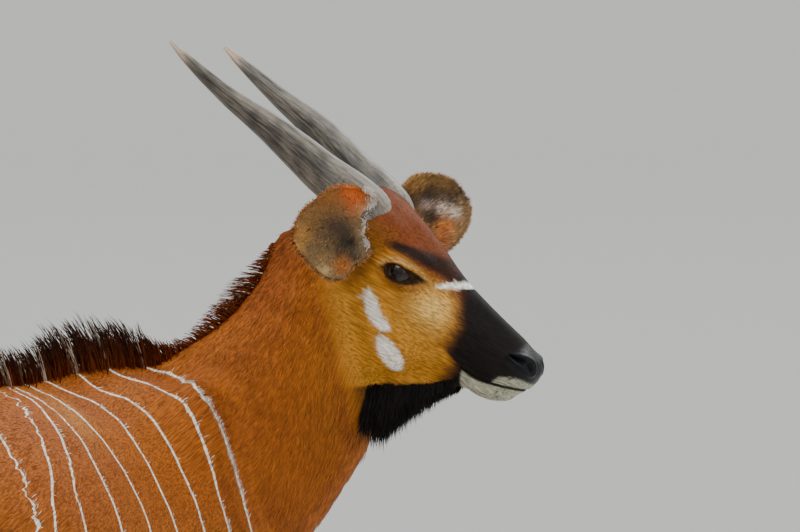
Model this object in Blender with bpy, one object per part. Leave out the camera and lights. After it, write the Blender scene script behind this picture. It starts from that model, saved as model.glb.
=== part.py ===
# Bongo antelope cow at life size, standing, with her head turned to her right.
# Metres, +Z up, +X from rump to chest. The origin is on the floor under the middle of the whole.
import math
import random

import bpy
import bmesh
from mathutils import Matrix, Vector
from mathutils.bvhtree import BVHTree

GAP = 0.0003
RIGHT, LEFT = -1, 1

# Trunk: height of the withers, then stations along the back, measured from the withers.
WITHERS_HEIGHT = 1.15
TRUNK_SIDES = 28
# x, back, widest level, belly, half width, how far the back comes to a ridge
TRUNK_STATIONS = (
    (0.245, 0.905, 0.85, 0.795, 0.050, 0.0),
    (0.215, 0.965, 0.83, 0.700, 0.095, 0.10),
    (0.150, 1.045, 0.82, 0.625, 0.140, 0.20),
    (0.060, 1.136, 0.82, 0.592, 0.172, 0.38),
    (-0.040, 1.164, 0.82, 0.580, 0.192, 0.46),
    (-0.150, 1.150, 0.83, 0.572, 0.212, 0.46),
    (-0.240, 1.143, 0.84, 0.568, 0.232, 0.36),
    (-0.350, 1.144, 0.85, 0.568, 0.252, 0.12),
    (-0.480, 1.150, 0.86, 0.572, 0.262, 0.05),
    (-0.620, 1.155, 0.88, 0.590, 0.252, 0.05),
    (-0.760, 1.160, 0.91, 0.628, 0.225, 0.10),
    (-0.890, 1.154, 0.93, 0.685, 0.196, 0.14),
    (-1.000, 1.125, 0.93, 0.735, 0.168, 0.12),
    (-1.080, 1.070, 0.93, 0.790, 0.128, 0.10),
    (-1.125, 1.010, 0.93, 0.845, 0.070, 0.0),
)

# Head: the point on the midline between the eyes, as an offset from the withers, and its turn.
HEAD_OFFSET = Vector((0.308, -0.270, 0.142))
HEAD_HEADING = math.radians(-76.7)
HEAD_PITCH = math.radians(42.0)
HEAD_SIDES = 28
# along the head, crown, widest level, underside, half width, ridge
HEAD_STATIONS = (
    (-0.135, 0.020, -0.030, -0.080, 0.045, 0.0),
    (-0.115, 0.046, -0.030, -0.110, 0.060, 0.0),
    (-0.085, 0.064, -0.025, -0.135, 0.068, 0.0),
    (-0.040, 0.067, -0.020, -0.152, 0.070, 0.05),
    (0.000, 0.061, -0.020, -0.158, 0.068, 0.10),
    (0.040, 0.053, -0.020, -0.146, 0.062, 0.15),
    (0.080, 0.048, -0.018, -0.124, 0.052, 0.15),
    (0.120, 0.047, -0.012, -0.101, 0.044, 0.12),
    (0.160, 0.047, -0.006, -0.080, 0.0385, 0.08),
    (0.190, 0.0455, 0.000, -0.064, 0.037, 0.05),
    (0.215, 0.041, 0.002, -0.047, 0.0365, 0.0),
    (0.234, 0.032, 0.002, -0.030, 0.031, 0.0),
    (0.246, 0.019, 0.003, -0.010, 0.018, 0.0),
)

# Neck: centres as offsets from the withers, half depth towards the nape and the throat, half width.
NECK_SIDES = 28
NECK_STATIONS = (
    ((0.020, 0.000, -0.230), 0.205, 0.200, 0.120),
    ((0.105, -0.022, -0.165), 0.184, 0.202, 0.118),
    ((0.168, -0.056, -0.088), 0.160, 0.190, 0.104),
    ((0.233, -0.106, -0.024), 0.150, 0.153, 0.090),
    ((0.264, -0.130, 0.043), 0.138, 0.120, 0.080),
    ((0.283, -0.155, 0.108), 0.128, 0.098, 0.072),
    ((0.290, -0.180, 0.166), 0.108, 0.080, 0.062),
    ((0.294, -0.205, 0.205), 0.070, 0.070, 0.050),
)

# Fore and hind leg: x from the leg's own place, height, half length, half width, way out from the leg.
LEG_SIDES = 16
FORE_LEG = (
    (0.060, 0.930, 0.040, 0.030, -0.040),
    (0.065, 0.850, 0.090, 0.058, -0.026),
    (0.058, 0.760, 0.105, 0.070, -0.010),
    (0.030, 0.690, 0.094, 0.068, 0.000),
    (0.002, 0.625, 0.072, 0.056, 0.000),
    (0.006, 0.550, 0.052, 0.045, 0.000),
    (0.018, 0.450, 0.036, 0.033, 0.000),
    (0.025, 0.390, 0.0375, 0.035, 0.000),
    (0.024, 0.350, 0.034, 0.032, 0.000),
    (0.016, 0.290, 0.0240, 0.0220, 0.000),
    (0.013, 0.180, 0.0230, 0.0210, 0.000),
    (0.009, 0.130, 0.0310, 0.0270, 0.000),
    (0.024, 0.095, 0.0260, 0.0260, 0.000),
    (0.040, 0.060, 0.0300, 0.0310, 0.000),
    (0.046, 0.030, 0.0320, 0.0320, 0.000),
)
HIND_LEG = (
    (0.010, 1.040, 0.060, 0.040, -0.050),
    (0.005, 0.960, 0.120, 0.070, -0.026),
    (0.020, 0.860, 0.155, 0.086, -0.010),
    (0.056, 0.750, 0.136, 0.080, 0.000),
    (0.078, 0.670, 0.102, 0.066, 0.004),
    (0.052, 0.595, 0.072, 0.049, 0.002),
    (0.004, 0.525, 0.052, 0.037, 0.000),
    (-0.036, 0.470, 0.046, 0.030, 0.000),
    (-0.050, 0.430, 0.043, 0.032, 0.000),
    (-0.040, 0.372, 0.032, 0.028, 0.000),
    (-0.029, 0.300, 0.0255, 0.0230, 0.000),
    (-0.022, 0.180, 0.0250, 0.0220, 0.000),
    (-0.020, 0.130, 0.0320, 0.0280, 0.000),
    (-0.004, 0.095, 0.0270, 0.0265, 0.000),
    (0.012, 0.060, 0.0305, 0.0310, 0.000),
    (0.018, 0.030, 0.0320, 0.0320, 0.000),
)
# name: stations, x of the leg, side, half spacing, height of the cut to the trunk
LEGS = {
    "leg_front_right": (FORE_LEG, 0.060, RIGHT, 0.118, 0.560),
    "leg_front_left": (FORE_LEG, -0.010, LEFT, 0.118, 0.560),
    "leg_hind_right": (HIND_LEG, -0.985, RIGHT, 0.122, 0.610),
    "leg_hind_left": (HIND_LEG, -0.925, LEFT, 0.122, 0.610),
}
HOOF_HEIGHT = 0.050
HOOF_TILT = math.radians(-14)
CLAW_SIDES = 14
CLAW_TOP = (0.030, 0.0148)
CLAW_SOLE = (0.043, 0.0156)
CLAW_CENTRE = 0.0164
CLAW_REACH = 0.012

EYE_RADIUS = 0.0205
EYE_OUT = 0.0560
EYE_LENGTH = 0.046
EYE_OPENING = 0.023
EYE_SLANT = math.radians(20)
NOSTRIL = Vector((0.2175, 0.029, 0.018))
MOUTH_SLIT = 0.0012
MOUTH_DEPTH = 0.006
# along the head, height of the mouth line, half width of the muzzle there
MOUTH_LINE = (
    (0.158, -0.0455, 0.0345),
    (0.172, -0.0430, 0.0335),
    (0.190, -0.0385, 0.0325),
    (0.208, -0.0300, 0.0305),
    (0.224, -0.0205, 0.0250),
    (0.236, -0.0125, 0.0165),
    (0.2425, -0.0080, 0.0060),
)

# Horns: along the head, height above its axis, half spacing, radius.
HORN_STATIONS = (
    (-0.056, 0.0130, 0.0300, 0.0200),
    (-0.078, 0.0270, 0.0375, 0.0290),
    (-0.100, 0.0330, 0.0432, 0.0330),
    (-0.132, 0.0310, 0.0480, 0.0325),
    (-0.185, 0.0260, 0.0570, 0.0285),
    (-0.235, 0.0260, 0.0660, 0.0245),
    (-0.281, 0.0250, 0.0740, 0.0205),
    (-0.320, 0.0210, 0.0800, 0.0165),
    (-0.358, 0.0170, 0.0845, 0.0138),
    (-0.414, 0.0150, 0.0890, 0.0100),
    (-0.455, 0.0150, 0.0900, 0.0070),
    (-0.484, 0.0160, 0.0895, 0.0026),
)
# How much of its length and how much extra bow each horn has.
HORN_SET = {"horn_right": (RIGHT, 1.0, 0.0), "horn_left": (LEFT, 0.965, 0.0055)}
HORN_SIDES = 12
HORN_KEEL = 0.10
HORN_TURN = math.radians(150)

# Ears: root, direction of the tip and of the opening, all as along, left, up in the head's frame,
# then length and half width.
EARS = {
    "ear_right": ((-0.077, -0.063, 0.020), (-0.132, -0.962, -0.218), (0.697, -0.243, 0.655), 0.165, 0.070),
    "ear_left": ((-0.068, 0.050, 0.004), (0.000, 0.130, 0.095), (0.251, -0.475, 0.650), 0.174, 0.061),
}
EAR_CUP = 0.038
EAR_WALL = 0.0040
EAR_CLEAR = 0.0020
EAR_WAVE = 0.05

# Tail: x from the withers, height, radius of the bare stem.
TAIL_STATIONS = (
    (-1.105, 1.035, 0.030),
    (-1.140, 1.005, 0.027),
    (-1.166, 0.950, 0.021),
    (-1.176, 0.880, 0.017),
    (-1.180, 0.800, 0.014),
    (-1.182, 0.720, 0.012),
    (-1.182, 0.650, 0.010),
)
TAIL_SIDES = 10
TUFT = ((0.720, 0.013), (0.670, 0.020), (0.620, 0.020), (0.590, 0.008))
TUFT_ROWS = ((0.700, 0.130), (0.660, 0.140))
TUFT_ROUND = 5

# A lock, from root to tip: share of its length, share of its width, how far it has bent over.
LOCK_FORM = ((0.0, 0.85, 0.0), (0.36, 1.0, 0.10), (0.36, 0.68, 0.35), (0.28, 0.10, 0.65))
LOCK_SINK = 0.012
CORE_SHARE = 0.42
# Mane: neck station and height of the hair, then place along the back and height.
NAPE_MANE = ((5.6, 0.012), (5.1, 0.020), (4.5, 0.026), (3.9, 0.028), (3.3, 0.028), (2.8, 0.025), (2.4, 0.018))
BACK_MANE = (
    (0.085, 0.026), (0.055, 0.060), (0.015, 0.092), (-0.100, 0.098), (-0.165, 0.096),
    (-0.215, 0.074), (-0.280, 0.064), (-0.340, 0.074), (-0.420, 0.076), (-0.560, 0.070),
    (-0.700, 0.060), (-0.840, 0.048), (-0.960, 0.032), (-1.040, 0.014),
)
MANE_HALF_WIDTH = 0.010
MANE_SPREAD = 0.003
MANE_PITCH = 0.025
MANE_LOCK_WIDTH = 0.042
MANE_LOCK_DEPTH = 0.013
# Beard: place along the jaw and below the head's axis, how far it hangs, half width.
BEARD_STATIONS = (
    (0.064, -0.160, 0.060, 0.018),
    (0.074, -0.154, 0.086, 0.024),
    (0.090, -0.138, 0.080, 0.026),
    (0.108, -0.122, 0.060, 0.024),
    (0.128, -0.105, 0.044, 0.020),
    (0.148, -0.090, 0.028, 0.015),
    (0.166, -0.080, 0.012, 0.010),
)

MEND_REACH = 0.00001
MEND_ROUNDS = 8
BODY_VOXEL = 0.0075
HEAD_VOXEL = 0.0034
BODY_FACES = 4000
TRUNK_PASSES = 45
LEG_SMOOTH_FROM = 0.58
NECK_SMOOTH_TO = 0.26
HEAD_FACES = 2650

WITHERS = Vector((0.0, 0.0, WITHERS_HEIGHT))
HEAD_FORWARD = Vector((
    math.cos(HEAD_PITCH) * math.cos(HEAD_HEADING),
    math.cos(HEAD_PITCH) * math.sin(HEAD_HEADING),
    -math.sin(HEAD_PITCH),
))
HEAD_LEFT = Vector((-math.sin(HEAD_HEADING), math.cos(HEAD_HEADING), 0.0))
HEAD_UP = HEAD_FORWARD.cross(HEAD_LEFT)


def frame_at(place, forward, left, up):
    """A matrix with its X, Y and Z along the three directions."""
    turn = Matrix((forward, left, up)).transposed().to_4x4()
    return Matrix.Translation(place) @ turn


HEAD = frame_at(WITHERS + HEAD_OFFSET, HEAD_FORWARD, HEAD_LEFT, HEAD_UP)


def clear_scene():
    for item in list(bpy.data.objects):
        bpy.data.objects.remove(item, do_unlink=True)


def material(name, colour, roughness):
    made = bpy.data.materials.new(name)
    made.use_nodes = True
    shader = made.node_tree.nodes["Principled BSDF"]
    shader.inputs["Base Color"].default_value = (*colour, 1.0)
    shader.inputs["Roughness"].default_value = roughness
    shader.inputs["Metallic"].default_value = 0.0
    return made


def add_object(name, mesh):
    item = bpy.data.objects.new(name, mesh)
    bpy.context.scene.collection.objects.link(item)
    return item


def object_from(name, bm):
    bmesh.ops.recalc_face_normals(bm, faces=bm.faces)
    mesh = bpy.data.meshes.new(name)
    bm.to_mesh(mesh)
    bm.free()
    return add_object(name, mesh)


def apply_modifiers(item):
    graph = bpy.context.evaluated_depsgraph_get()
    mesh = bpy.data.meshes.new_from_object(item.evaluated_get(graph))
    item.modifiers.clear()
    old = item.data
    item.data = mesh
    bpy.data.meshes.remove(old)


def remove(item):
    bpy.data.objects.remove(item, do_unlink=True)


def ring(bm, place, width, up, down, sides, ridge=0.0):
    """A closed ring across place's X: width each side, up and down from its middle."""
    verts = bmesh.ops.create_circle(bm, cap_ends=False, segments=sides, radius=1.0)["verts"]
    for vert in verts:
        side, rise = vert.co.x, vert.co.y
        pinch = 1.0 - ridge * max(rise, 0.0) ** 2
        vert.co = place @ Vector((0.0, side * width * pinch, rise * (up if rise > 0 else down)))
    return verts


def join_rings(name, bm, rings):
    """Bridges each ring to the next and closes both ends."""
    for first, second in zip(rings, rings[1:]):
        both = set(first) | set(second)
        edges = [edge for edge in bm.edges if set(edge.verts) <= both and len(edge.link_faces) < 2]
        bmesh.ops.bridge_loops(bm, edges=edges)
    for end in (rings[0], rings[-1]):
        bmesh.ops.contextual_create(bm, geom=end)
    return object_from(name, bm)


def trunk_form():
    bm = bmesh.new()
    rings = []
    for along, back, middle, belly, width, ridge in TRUNK_STATIONS:
        place = Matrix.Translation((along, 0.0, middle))
        rings.append(ring(bm, place, width, back - middle, middle - belly, TRUNK_SIDES, ridge))
    return join_rings("trunk", bm, rings)


def head_form():
    bm = bmesh.new()
    rings = []
    for along, crown, middle, under, width, ridge in HEAD_STATIONS:
        place = HEAD @ Matrix.Translation((along, 0.0, middle))
        rings.append(ring(bm, place, width, crown - middle, middle - under, HEAD_SIDES, ridge))
    return join_rings("skull", bm, rings)


def neck_places():
    """A frame for each neck station, with X up the neck and Z towards the nape."""
    centres = [WITHERS + Vector(station[0]) for station in NECK_STATIONS]
    places = []
    for index, centre in enumerate(centres):
        before = centres[max(index - 1, 0)]
        after = centres[min(index + 1, len(centres) - 1)]
        forward = (after - before).normalized()
        left = Vector((0.0, 0.0, 1.0)).cross(forward).normalized()
        places.append(frame_at(centre, forward, left, forward.cross(left)))
    return places


def neck_form():
    bm = bmesh.new()
    rings = []
    for place, (_, nape, throat, width) in zip(neck_places(), NECK_STATIONS):
        rings.append(ring(bm, place, width, nape, throat, NECK_SIDES, 0.25))
    return join_rings("neck_core", bm, rings)


def leg_form(name, stations, along, side, spacing):
    bm = bmesh.new()
    rings = []
    turn = Matrix.Rotation(math.pi / 2, 4, "Y")
    for forward, height, length, width, out in stations:
        place = Matrix.Translation((along + forward, side * (spacing + out), height)) @ turn
        rings.append(ring(bm, place, width, length, length, LEG_SIDES))
    return join_rings(name, bm, rings)


def ball(name, frame, centre, radii, turn=0.0, axis="Y", detail=3):
    """An ellipsoid in a frame, turned about one of its axes."""
    bm = bmesh.new()
    place = frame @ Matrix.Translation(centre) @ Matrix.Rotation(turn, 4, axis)
    place = place @ Matrix.Diagonal((*radii, 1.0))
    bmesh.ops.create_icosphere(bm, subdivisions=detail, radius=1.0, matrix=place)
    return object_from(name, bm)


def muscle_forms():
    """The masses that stand out of the plain trunk: shoulders, haunches, hips, brisket, udder."""
    world = Matrix.Identity(4)
    forms = []
    for side in (RIGHT, LEFT):
        forms.append(ball("scapula", world, (0.005, side * 0.078, 0.950), (0.125, 0.066, 0.205), 0.30))
        forms.append(ball("shoulder", world, (0.080, side * 0.092, 0.815), (0.125, 0.072, 0.145), 0.2))
        forms.append(ball("haunch", world, (-0.925, side * 0.100, 0.920), (0.175, 0.096, 0.200), -0.25))
        forms.append(ball("hip", world, (-0.830, side * 0.100, 1.055), (0.150, 0.072, 0.072)))
        forms.append(ball("rump", world, (-1.045, side * 0.065, 0.940), (0.088, 0.068, 0.135)))
        forms.append(ball("flank", world, (-0.740, side * 0.120, 0.790), (0.190, 0.095, 0.140)))
    forms.append(ball("neck_base", world, (0.110, 0.045, 0.925), (0.120, 0.085, 0.150), 0.5))
    forms.append(ball("brisket", world, (0.165, -0.010, 0.755), (0.085, 0.085, 0.110)))
    forms.append(ball("udder", world, (-0.850, 0.0, 0.690), (0.070, 0.055, 0.045)))
    return forms


def head_masses():
    """The brows, cheeks, crown, nose and lips that stand out of the plain skull."""
    forms = []
    for side in (RIGHT, LEFT):
        forms.append(ball("orbit", HEAD, (0.003, side * 0.0525, -0.001), (0.040, 0.0275, 0.0280), -0.35))
        forms.append(ball("brow", HEAD, (-0.016, side * 0.038, 0.020), (0.056, 0.026, 0.026), -0.20))
        forms.append(ball("cheek", HEAD, (0.015, side * 0.034, -0.078), (0.085, 0.031, 0.066), 0.35))
        forms.append(ball("jaw", HEAD, (0.018, side * 0.032, -0.125), (0.056, 0.024, 0.036), 0.45))
        forms.append(ball("cheekbone", HEAD, (0.050, side * 0.040, -0.014), (0.060, 0.017, 0.020), 0.2))
        forms.append(ball("temple", HEAD, (-0.060, side * 0.040, 0.008), (0.062, 0.028, 0.048)))
        forms.append(ball("ear_base", HEAD, (-0.066, side * 0.048, -0.028), (0.042, 0.026, 0.040)))
        forms.append(ball("nose_wing", HEAD, (0.214, side * 0.0210, 0.018), (0.027, 0.0170, 0.0205), -0.25))
        forms.append(ball("lip_side", HEAD, (0.196, side * 0.0250, -0.018), (0.040, 0.0135, 0.018), -0.38))
        forms.append(ball("lower_lip", HEAD, (0.198, side * 0.0170, -0.049), (0.036, 0.0150, 0.0145), -0.38))
        forms.append(ball("pedicle", HEAD, (-0.092, side * 0.043, 0.020), (0.036, 0.036, 0.036)))
    forms.append(ball("crown", HEAD, (-0.085, 0.0, 0.040), (0.055, 0.055, 0.028)))
    forms.append(ball("nose_pad", HEAD, (0.226, 0.0, 0.014), (0.022, 0.029, 0.024), -0.2))
    forms.append(ball("lip_front", HEAD, (0.228, 0.0, -0.008), (0.020, 0.026, 0.0125), -0.45))
    forms.append(ball("chin", HEAD, (0.216, 0.0, -0.037), (0.023, 0.022, 0.0170), -0.45))
    return forms


def merge_meshes(name, items):
    """One object with the loose meshes of all items."""
    bm = bmesh.new()
    for item in items:
        bm.from_mesh(item.data)
    mesh = bpy.data.meshes.new(name)
    bm.to_mesh(mesh)
    bm.free()
    for item in items:
        remove(item)
    return add_object(name, mesh)


def cut_away(item, place, normal):
    """Drops what lies behind a plane and closes the cut."""
    bm = bmesh.new()
    bm.from_mesh(item.data)
    everything = list(bm.verts) + list(bm.edges) + list(bm.faces)
    bmesh.ops.bisect_plane(bm, geom=everything, plane_co=place, plane_no=normal, clear_inner=True)
    rim = [edge for edge in bm.edges if len(edge.link_faces) == 1]
    bmesh.ops.holes_fill(bm, edges=rim, sides=0)
    bmesh.ops.triangulate(bm, faces=bm.faces)
    bm.to_mesh(item.data)
    bm.free()


def smooth_out(item, passes, share=None):
    """Smooths a surface, each point by the share that a function of its place gives."""
    smooth = item.modifiers.new("smooth", "SMOOTH")
    smooth.factor = 0.5
    smooth.iterations = passes
    if share:
        group = item.vertex_groups.new(name="share")
        for vert in item.data.vertices:
            group.add([vert.index], share(vert.co), "REPLACE")
        smooth.vertex_group = group.name
    apply_modifiers(item)
    item.vertex_groups.clear()


def trunk_share(place):
    """1 on the trunk, falling to 0 down the legs and up the neck towards the head."""
    above = (place.z - LEG_SMOOTH_FROM) / 0.15
    behind = (NECK_SMOOTH_TO - place.x) / 0.05
    return max(0.0, min(1.0, above, behind))


def fused_skin(item, voxel, passes, faces, trunk_passes=0):
    """Makes overlapping forms one smooth closed surface of about so many triangles."""
    remesh = item.modifiers.new("fuse", "REMESH")
    remesh.mode = "VOXEL"
    remesh.voxel_size = voxel
    apply_modifiers(item)
    smooth_out(item, passes)
    if trunk_passes:
        smooth_out(item, trunk_passes, trunk_share)
    keep_largest(item)
    bm = bmesh.new()
    bm.from_mesh(item.data)
    bmesh.ops.triangulate(bm, faces=bm.faces)
    count = len(bm.faces)
    bm.to_mesh(item.data)
    bm.free()
    fewer = item.modifiers.new("fewer", "DECIMATE")
    fewer.ratio = faces / count
    apply_modifiers(item)


def surface_parts(bm):
    """The connected surfaces of a mesh, as lists of faces."""
    left = set(bm.faces)
    parts = []
    while left:
        start = left.pop()
        part = [start]
        queue = [start]
        while queue:
            for edge in queue.pop().edges:
                for face in edge.link_faces:
                    if face in left:
                        left.discard(face)
                        part.append(face)
                        queue.append(face)
        parts.append(part)
    return parts


def keep_largest(item):
    bm = bmesh.new()
    bm.from_mesh(item.data)
    parts = sorted(surface_parts(bm), key=lambda part: sum(face.calc_area() for face in part))
    for part in parts[:-1]:
        bmesh.ops.delete(bm, geom=part, context="FACES")
    bm.to_mesh(item.data)
    bm.free()


def mend(item):
    """Takes out doubled points, and edges where two sheets of the surface touch."""
    bm = bmesh.new()
    bm.from_mesh(item.data)
    bmesh.ops.remove_doubles(bm, verts=bm.verts, dist=MEND_REACH)
    bmesh.ops.dissolve_degenerate(bm, edges=bm.edges, dist=MEND_REACH)
    for _ in range(MEND_ROUNDS):
        open_rim = [edge for edge in bm.edges if len(edge.link_faces) == 1]
        bmesh.ops.holes_fill(bm, edges=open_rim, sides=0)
        bmesh.ops.triangulate(bm, faces=bm.faces)
        touching = [edge for edge in bm.edges if len(edge.link_faces) > 2]
        if not touching:
            break
        bmesh.ops.collapse(bm, edges=touching)
        loose = [edge for edge in bm.edges if not edge.link_faces]
        bmesh.ops.delete(bm, geom=loose, context="EDGES")
    bm.to_mesh(item.data)
    bm.free()


def combine(item, others, operation, solver="MANIFOLD"):
    """One Boolean of item with a collection of closed meshes, applied, with the others removed."""
    group = bpy.data.collections.new("operands")
    for other in others:
        group.objects.link(other)
    boolean = item.modifiers.new("combine", "BOOLEAN")
    boolean.operation = operation
    boolean.operand_type = "COLLECTION"
    boolean.collection = group
    boolean.solver = solver
    apply_modifiers(item)
    for other in others:
        remove(other)
    bpy.data.collections.remove(group)


def copy_of(item, name):
    return add_object(name, item.data.copy())


def grown(item, name, distance):
    """A copy of a closed surface, moved out along its normals."""
    made = copy_of(item, name)
    bm = bmesh.new()
    bm.from_mesh(made.data)
    bm.normal_update()
    moves = [vert.co + vert.normal * distance for vert in bm.verts]
    for vert, place in zip(bm.verts, moves):
        vert.co = place
    bm.to_mesh(made.data)
    bm.free()
    return made


def slab(name, place, normal, half_length, half_width, thickness=GAP):
    """A thin plate across normal: half_length along its near-vertical side, half_width across."""
    normal = normal.normalized()
    side = Vector((0.0, 0.0, 1.0)).cross(normal)
    if side.length < 0.1:
        side = Vector((0.0, 1.0, 0.0))
    side.normalize()
    size = Matrix.Diagonal((thickness, 2 * half_width, 2 * half_length, 1.0))
    bm = bmesh.new()
    bmesh.ops.create_cube(bm, size=1.0, matrix=frame_at(place, normal, side, normal.cross(side)) @ size)
    return object_from(name, bm)


# The cut between head and neck runs behind the jaw and the ears.
NAPE_POINT = HEAD @ Vector((-0.1745, 0.0, -0.020))
THROAT_POINT = HEAD @ Vector((0.055, 0.0, -0.173))
HEAD_CUT_NORMAL = (THROAT_POINT - NAPE_POINT).cross(HEAD_LEFT).normalized()
HEAD_CUT_PLACE = (NAPE_POINT + THROAT_POINT) / 2
# The cut between neck and trunk runs from in front of the withers to the point of the chest.
NECK_CUT_PLACE = WITHERS + Vector((0.155, -0.025, -0.130))
NECK_CUT_NORMAL = Vector((0.78, -0.16, 0.60)).normalized()
TAIL_CUT_PLACE = Vector((-1.142, 0.0, 1.000))
TAIL_CUT_NORMAL = Vector((-0.80, 0.0, -0.60))


def flesh_forms():
    forms = [trunk_form(), neck_form(), head_form()]
    forms += muscle_forms()
    forms += head_masses()
    for name, (stations, along, side, spacing, _) in LEGS.items():
        forms.append(leg_form(name, stations, along, side, spacing))
    return merge_meshes("flesh", forms)


def eye_place(side):
    """The middle of an eyeball, with X along the eye's opening and Y to the head's left."""
    return HEAD @ Matrix.Translation((0.0, side * EYE_OUT, 0.0)) @ Matrix.Rotation(-EYE_SLANT, 4, "Y")


def eye_socket(side):
    """The hollow for an eyeball, with the almond opening between the lids."""
    bm = bmesh.new()
    place = eye_place(side)
    bmesh.ops.create_icosphere(bm, subdivisions=3, radius=EYE_RADIUS + GAP, matrix=place)
    hollow = object_from("hollow", bm)
    radius = (EYE_LENGTH ** 2 + EYE_OPENING ** 2) / (4 * EYE_OPENING)
    lens = None
    turn = Matrix.Rotation(math.pi / 2, 4, "X")
    for way in (-1, 1):
        shift = Matrix.Translation((0.0, side * 0.022, way * (radius - EYE_OPENING / 2)))
        bm = bmesh.new()
        bmesh.ops.create_cone(
            bm, cap_ends=True, segments=40, radius1=radius, radius2=radius,
            depth=0.040, matrix=place @ shift @ turn,
        )
        half = object_from("lid_arc", bm)
        if lens is None:
            lens = half
        else:
            combine(lens, [half], "INTERSECT")
    combine(hollow, [lens], "UNION")
    return hollow


def mouth_cutter():
    """A thin U-shaped plate that cuts the line of the mouth round the front of the muzzle."""
    bm = bmesh.new()
    route = [(s, -w, t) for s, t, w in MOUTH_LINE] + [(s, w, t) for s, t, w in reversed(MOUTH_LINE)]
    rings = []
    for along, side, height in route:
        way = Vector((0.25, 1.0 if side > 0 else -1.0, 0.10))
        if abs(side) < 0.02:
            way.x = 1.6
        way.normalize()
        corners = []
        for reach, rise in ((-MOUTH_DEPTH, -0.5), (0.016, -0.5), (0.016, 0.5), (-MOUTH_DEPTH, 0.5)):
            point = Vector((along, side, height)) + way * reach + Vector((0.0, 0.0, rise * MOUTH_SLIT))
            corners.append(bm.verts.new(HEAD @ point))
        rings.append(corners)
    for corners in rings:
        for index in range(4):
            bm.edges.new((corners[index], corners[(index + 1) % 4]))
    return join_rings("mouth_cutter", bm, rings)


def nostril_cutter(side):
    centre = (NOSTRIL.x, side * NOSTRIL.y, NOSTRIL.z)
    return ball("nostril_cutter", HEAD, centre, (0.0165, 0.0090, 0.0062), -0.30, detail=2)


def make_head(flesh):
    """The head node, with lids, nostrils and the line of the mouth."""
    head = copy_of(flesh, "head")
    cut_away(head, HEAD_CUT_PLACE - HEAD_CUT_NORMAL * 0.05, HEAD_CUT_NORMAL)
    fused_skin(head, HEAD_VOXEL, 12, HEAD_FACES)
    combine(head, [beard_form()] + beard_locks(), "UNION")
    keep_largest(head)
    cut_away(head, HEAD_CUT_PLACE + HEAD_CUT_NORMAL * GAP / 2, HEAD_CUT_NORMAL)
    cutters = [eye_socket(RIGHT), eye_socket(LEFT), nostril_cutter(RIGHT), nostril_cutter(LEFT)]
    cutters.append(mouth_cutter())
    combine(head, cutters, "DIFFERENCE")
    keep_largest(head)
    return head


def make_eyes():
    made = []
    for name, side in (("eye_right", RIGHT), ("eye_left", LEFT)):
        bm = bmesh.new()
        bmesh.ops.create_icosphere(bm, subdivisions=3, radius=EYE_RADIUS, matrix=eye_place(side))
        made.append(object_from(name, bm))
    return made


def horn(name, side, share, bow):
    """A tapered horn that sweeps back in line with the face, with a keel that turns round it."""
    root, tip = HORN_STATIONS[0][0], HORN_STATIONS[-1][0]
    places = []
    for along, height, spacing, _ in HORN_STATIONS:
        part = (along - root) / (tip - root)
        height += bow * math.sin(math.pi * part)
        places.append(Vector((root + (along - root) * share, side * spacing, height)))
    bm = bmesh.new()
    rings = []
    for index, (centre, station) in enumerate(zip(places, HORN_STATIONS)):
        before = places[max(index - 1, 0)]
        after = places[min(index + 1, len(places) - 1)]
        forward = (after - before).normalized()
        left = Vector((0.0, 0.0, 1.0)).cross(forward).normalized()
        place = HEAD @ frame_at(centre, forward, left, forward.cross(left))
        radius = station[3]
        turn = side * HORN_TURN * index / (len(places) - 1)
        verts = bmesh.ops.create_circle(bm, cap_ends=False, segments=HORN_SIDES, radius=1.0)["verts"]
        for vert in verts:
            angle = math.atan2(vert.co.y, vert.co.x)
            swell = 1.0 + HORN_KEEL * math.cos(2 * (angle - turn))
            vert.co = place @ Vector((0.0, vert.co.x * radius * swell, vert.co.y * radius * swell))
        rings.append(verts)
    return join_rings(name, bm, rings)


def ear(name, root, tip_way, open_way, length, half_width):
    """A cupped leaf, narrow and rolled at its root and round towards its tip."""
    axis = (HEAD.to_3x3() @ Vector(tip_way)).normalized()
    opening = HEAD.to_3x3() @ Vector(open_way)
    opening = (opening - axis * opening.dot(axis)).normalized()
    across = opening.cross(axis)
    place = frame_at(HEAD @ Vector(root), axis, across, opening)
    bm = bmesh.new()
    bmesh.ops.create_grid(bm, x_segments=9, y_segments=8, size=1.0)
    for vert in bm.verts:
        along = (vert.co.x + 1.0) / 2
        side = vert.co.y
        width = half_width * (0.42 + 0.58 * math.sin(math.pi * min(along * 1.30, 1.0) / 2))
        width *= math.sqrt(max(1.0 - max(along - 0.42, 0.0) ** 2 / 0.3364, 0.0))
        width *= 1.0 + EAR_WAVE * math.sin(9.0 * along + 2.0 * side)
        curl = 1.0 - 0.62 * along
        angle = side * (0.55 + 1.15 * curl)
        reach = width / math.sin(0.55 + 1.15 * min(curl, 0.75))
        vert.co = place @ Vector((
            along * length * (1.0 + 0.06 * side * side * along) - 0.02,
            reach * math.sin(angle),
            -EAR_CUP * curl + (reach * 0.55) * (1.0 - math.cos(angle)) - 0.012 * along * along,
        ))
    bmesh.ops.remove_doubles(bm, verts=bm.verts, dist=0.0006)
    made = object_from(name, bm)
    wall = made.modifiers.new("wall", "SOLIDIFY")
    wall.thickness = EAR_WALL
    wall.offset = 0.0
    apply_modifiers(made)
    bm = bmesh.new()
    bm.from_mesh(made.data)
    bmesh.ops.triangulate(bm, faces=bm.faces)
    bmesh.ops.recalc_face_normals(bm, faces=bm.faces)
    bm.to_mesh(made.data)
    bm.free()
    return made


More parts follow.
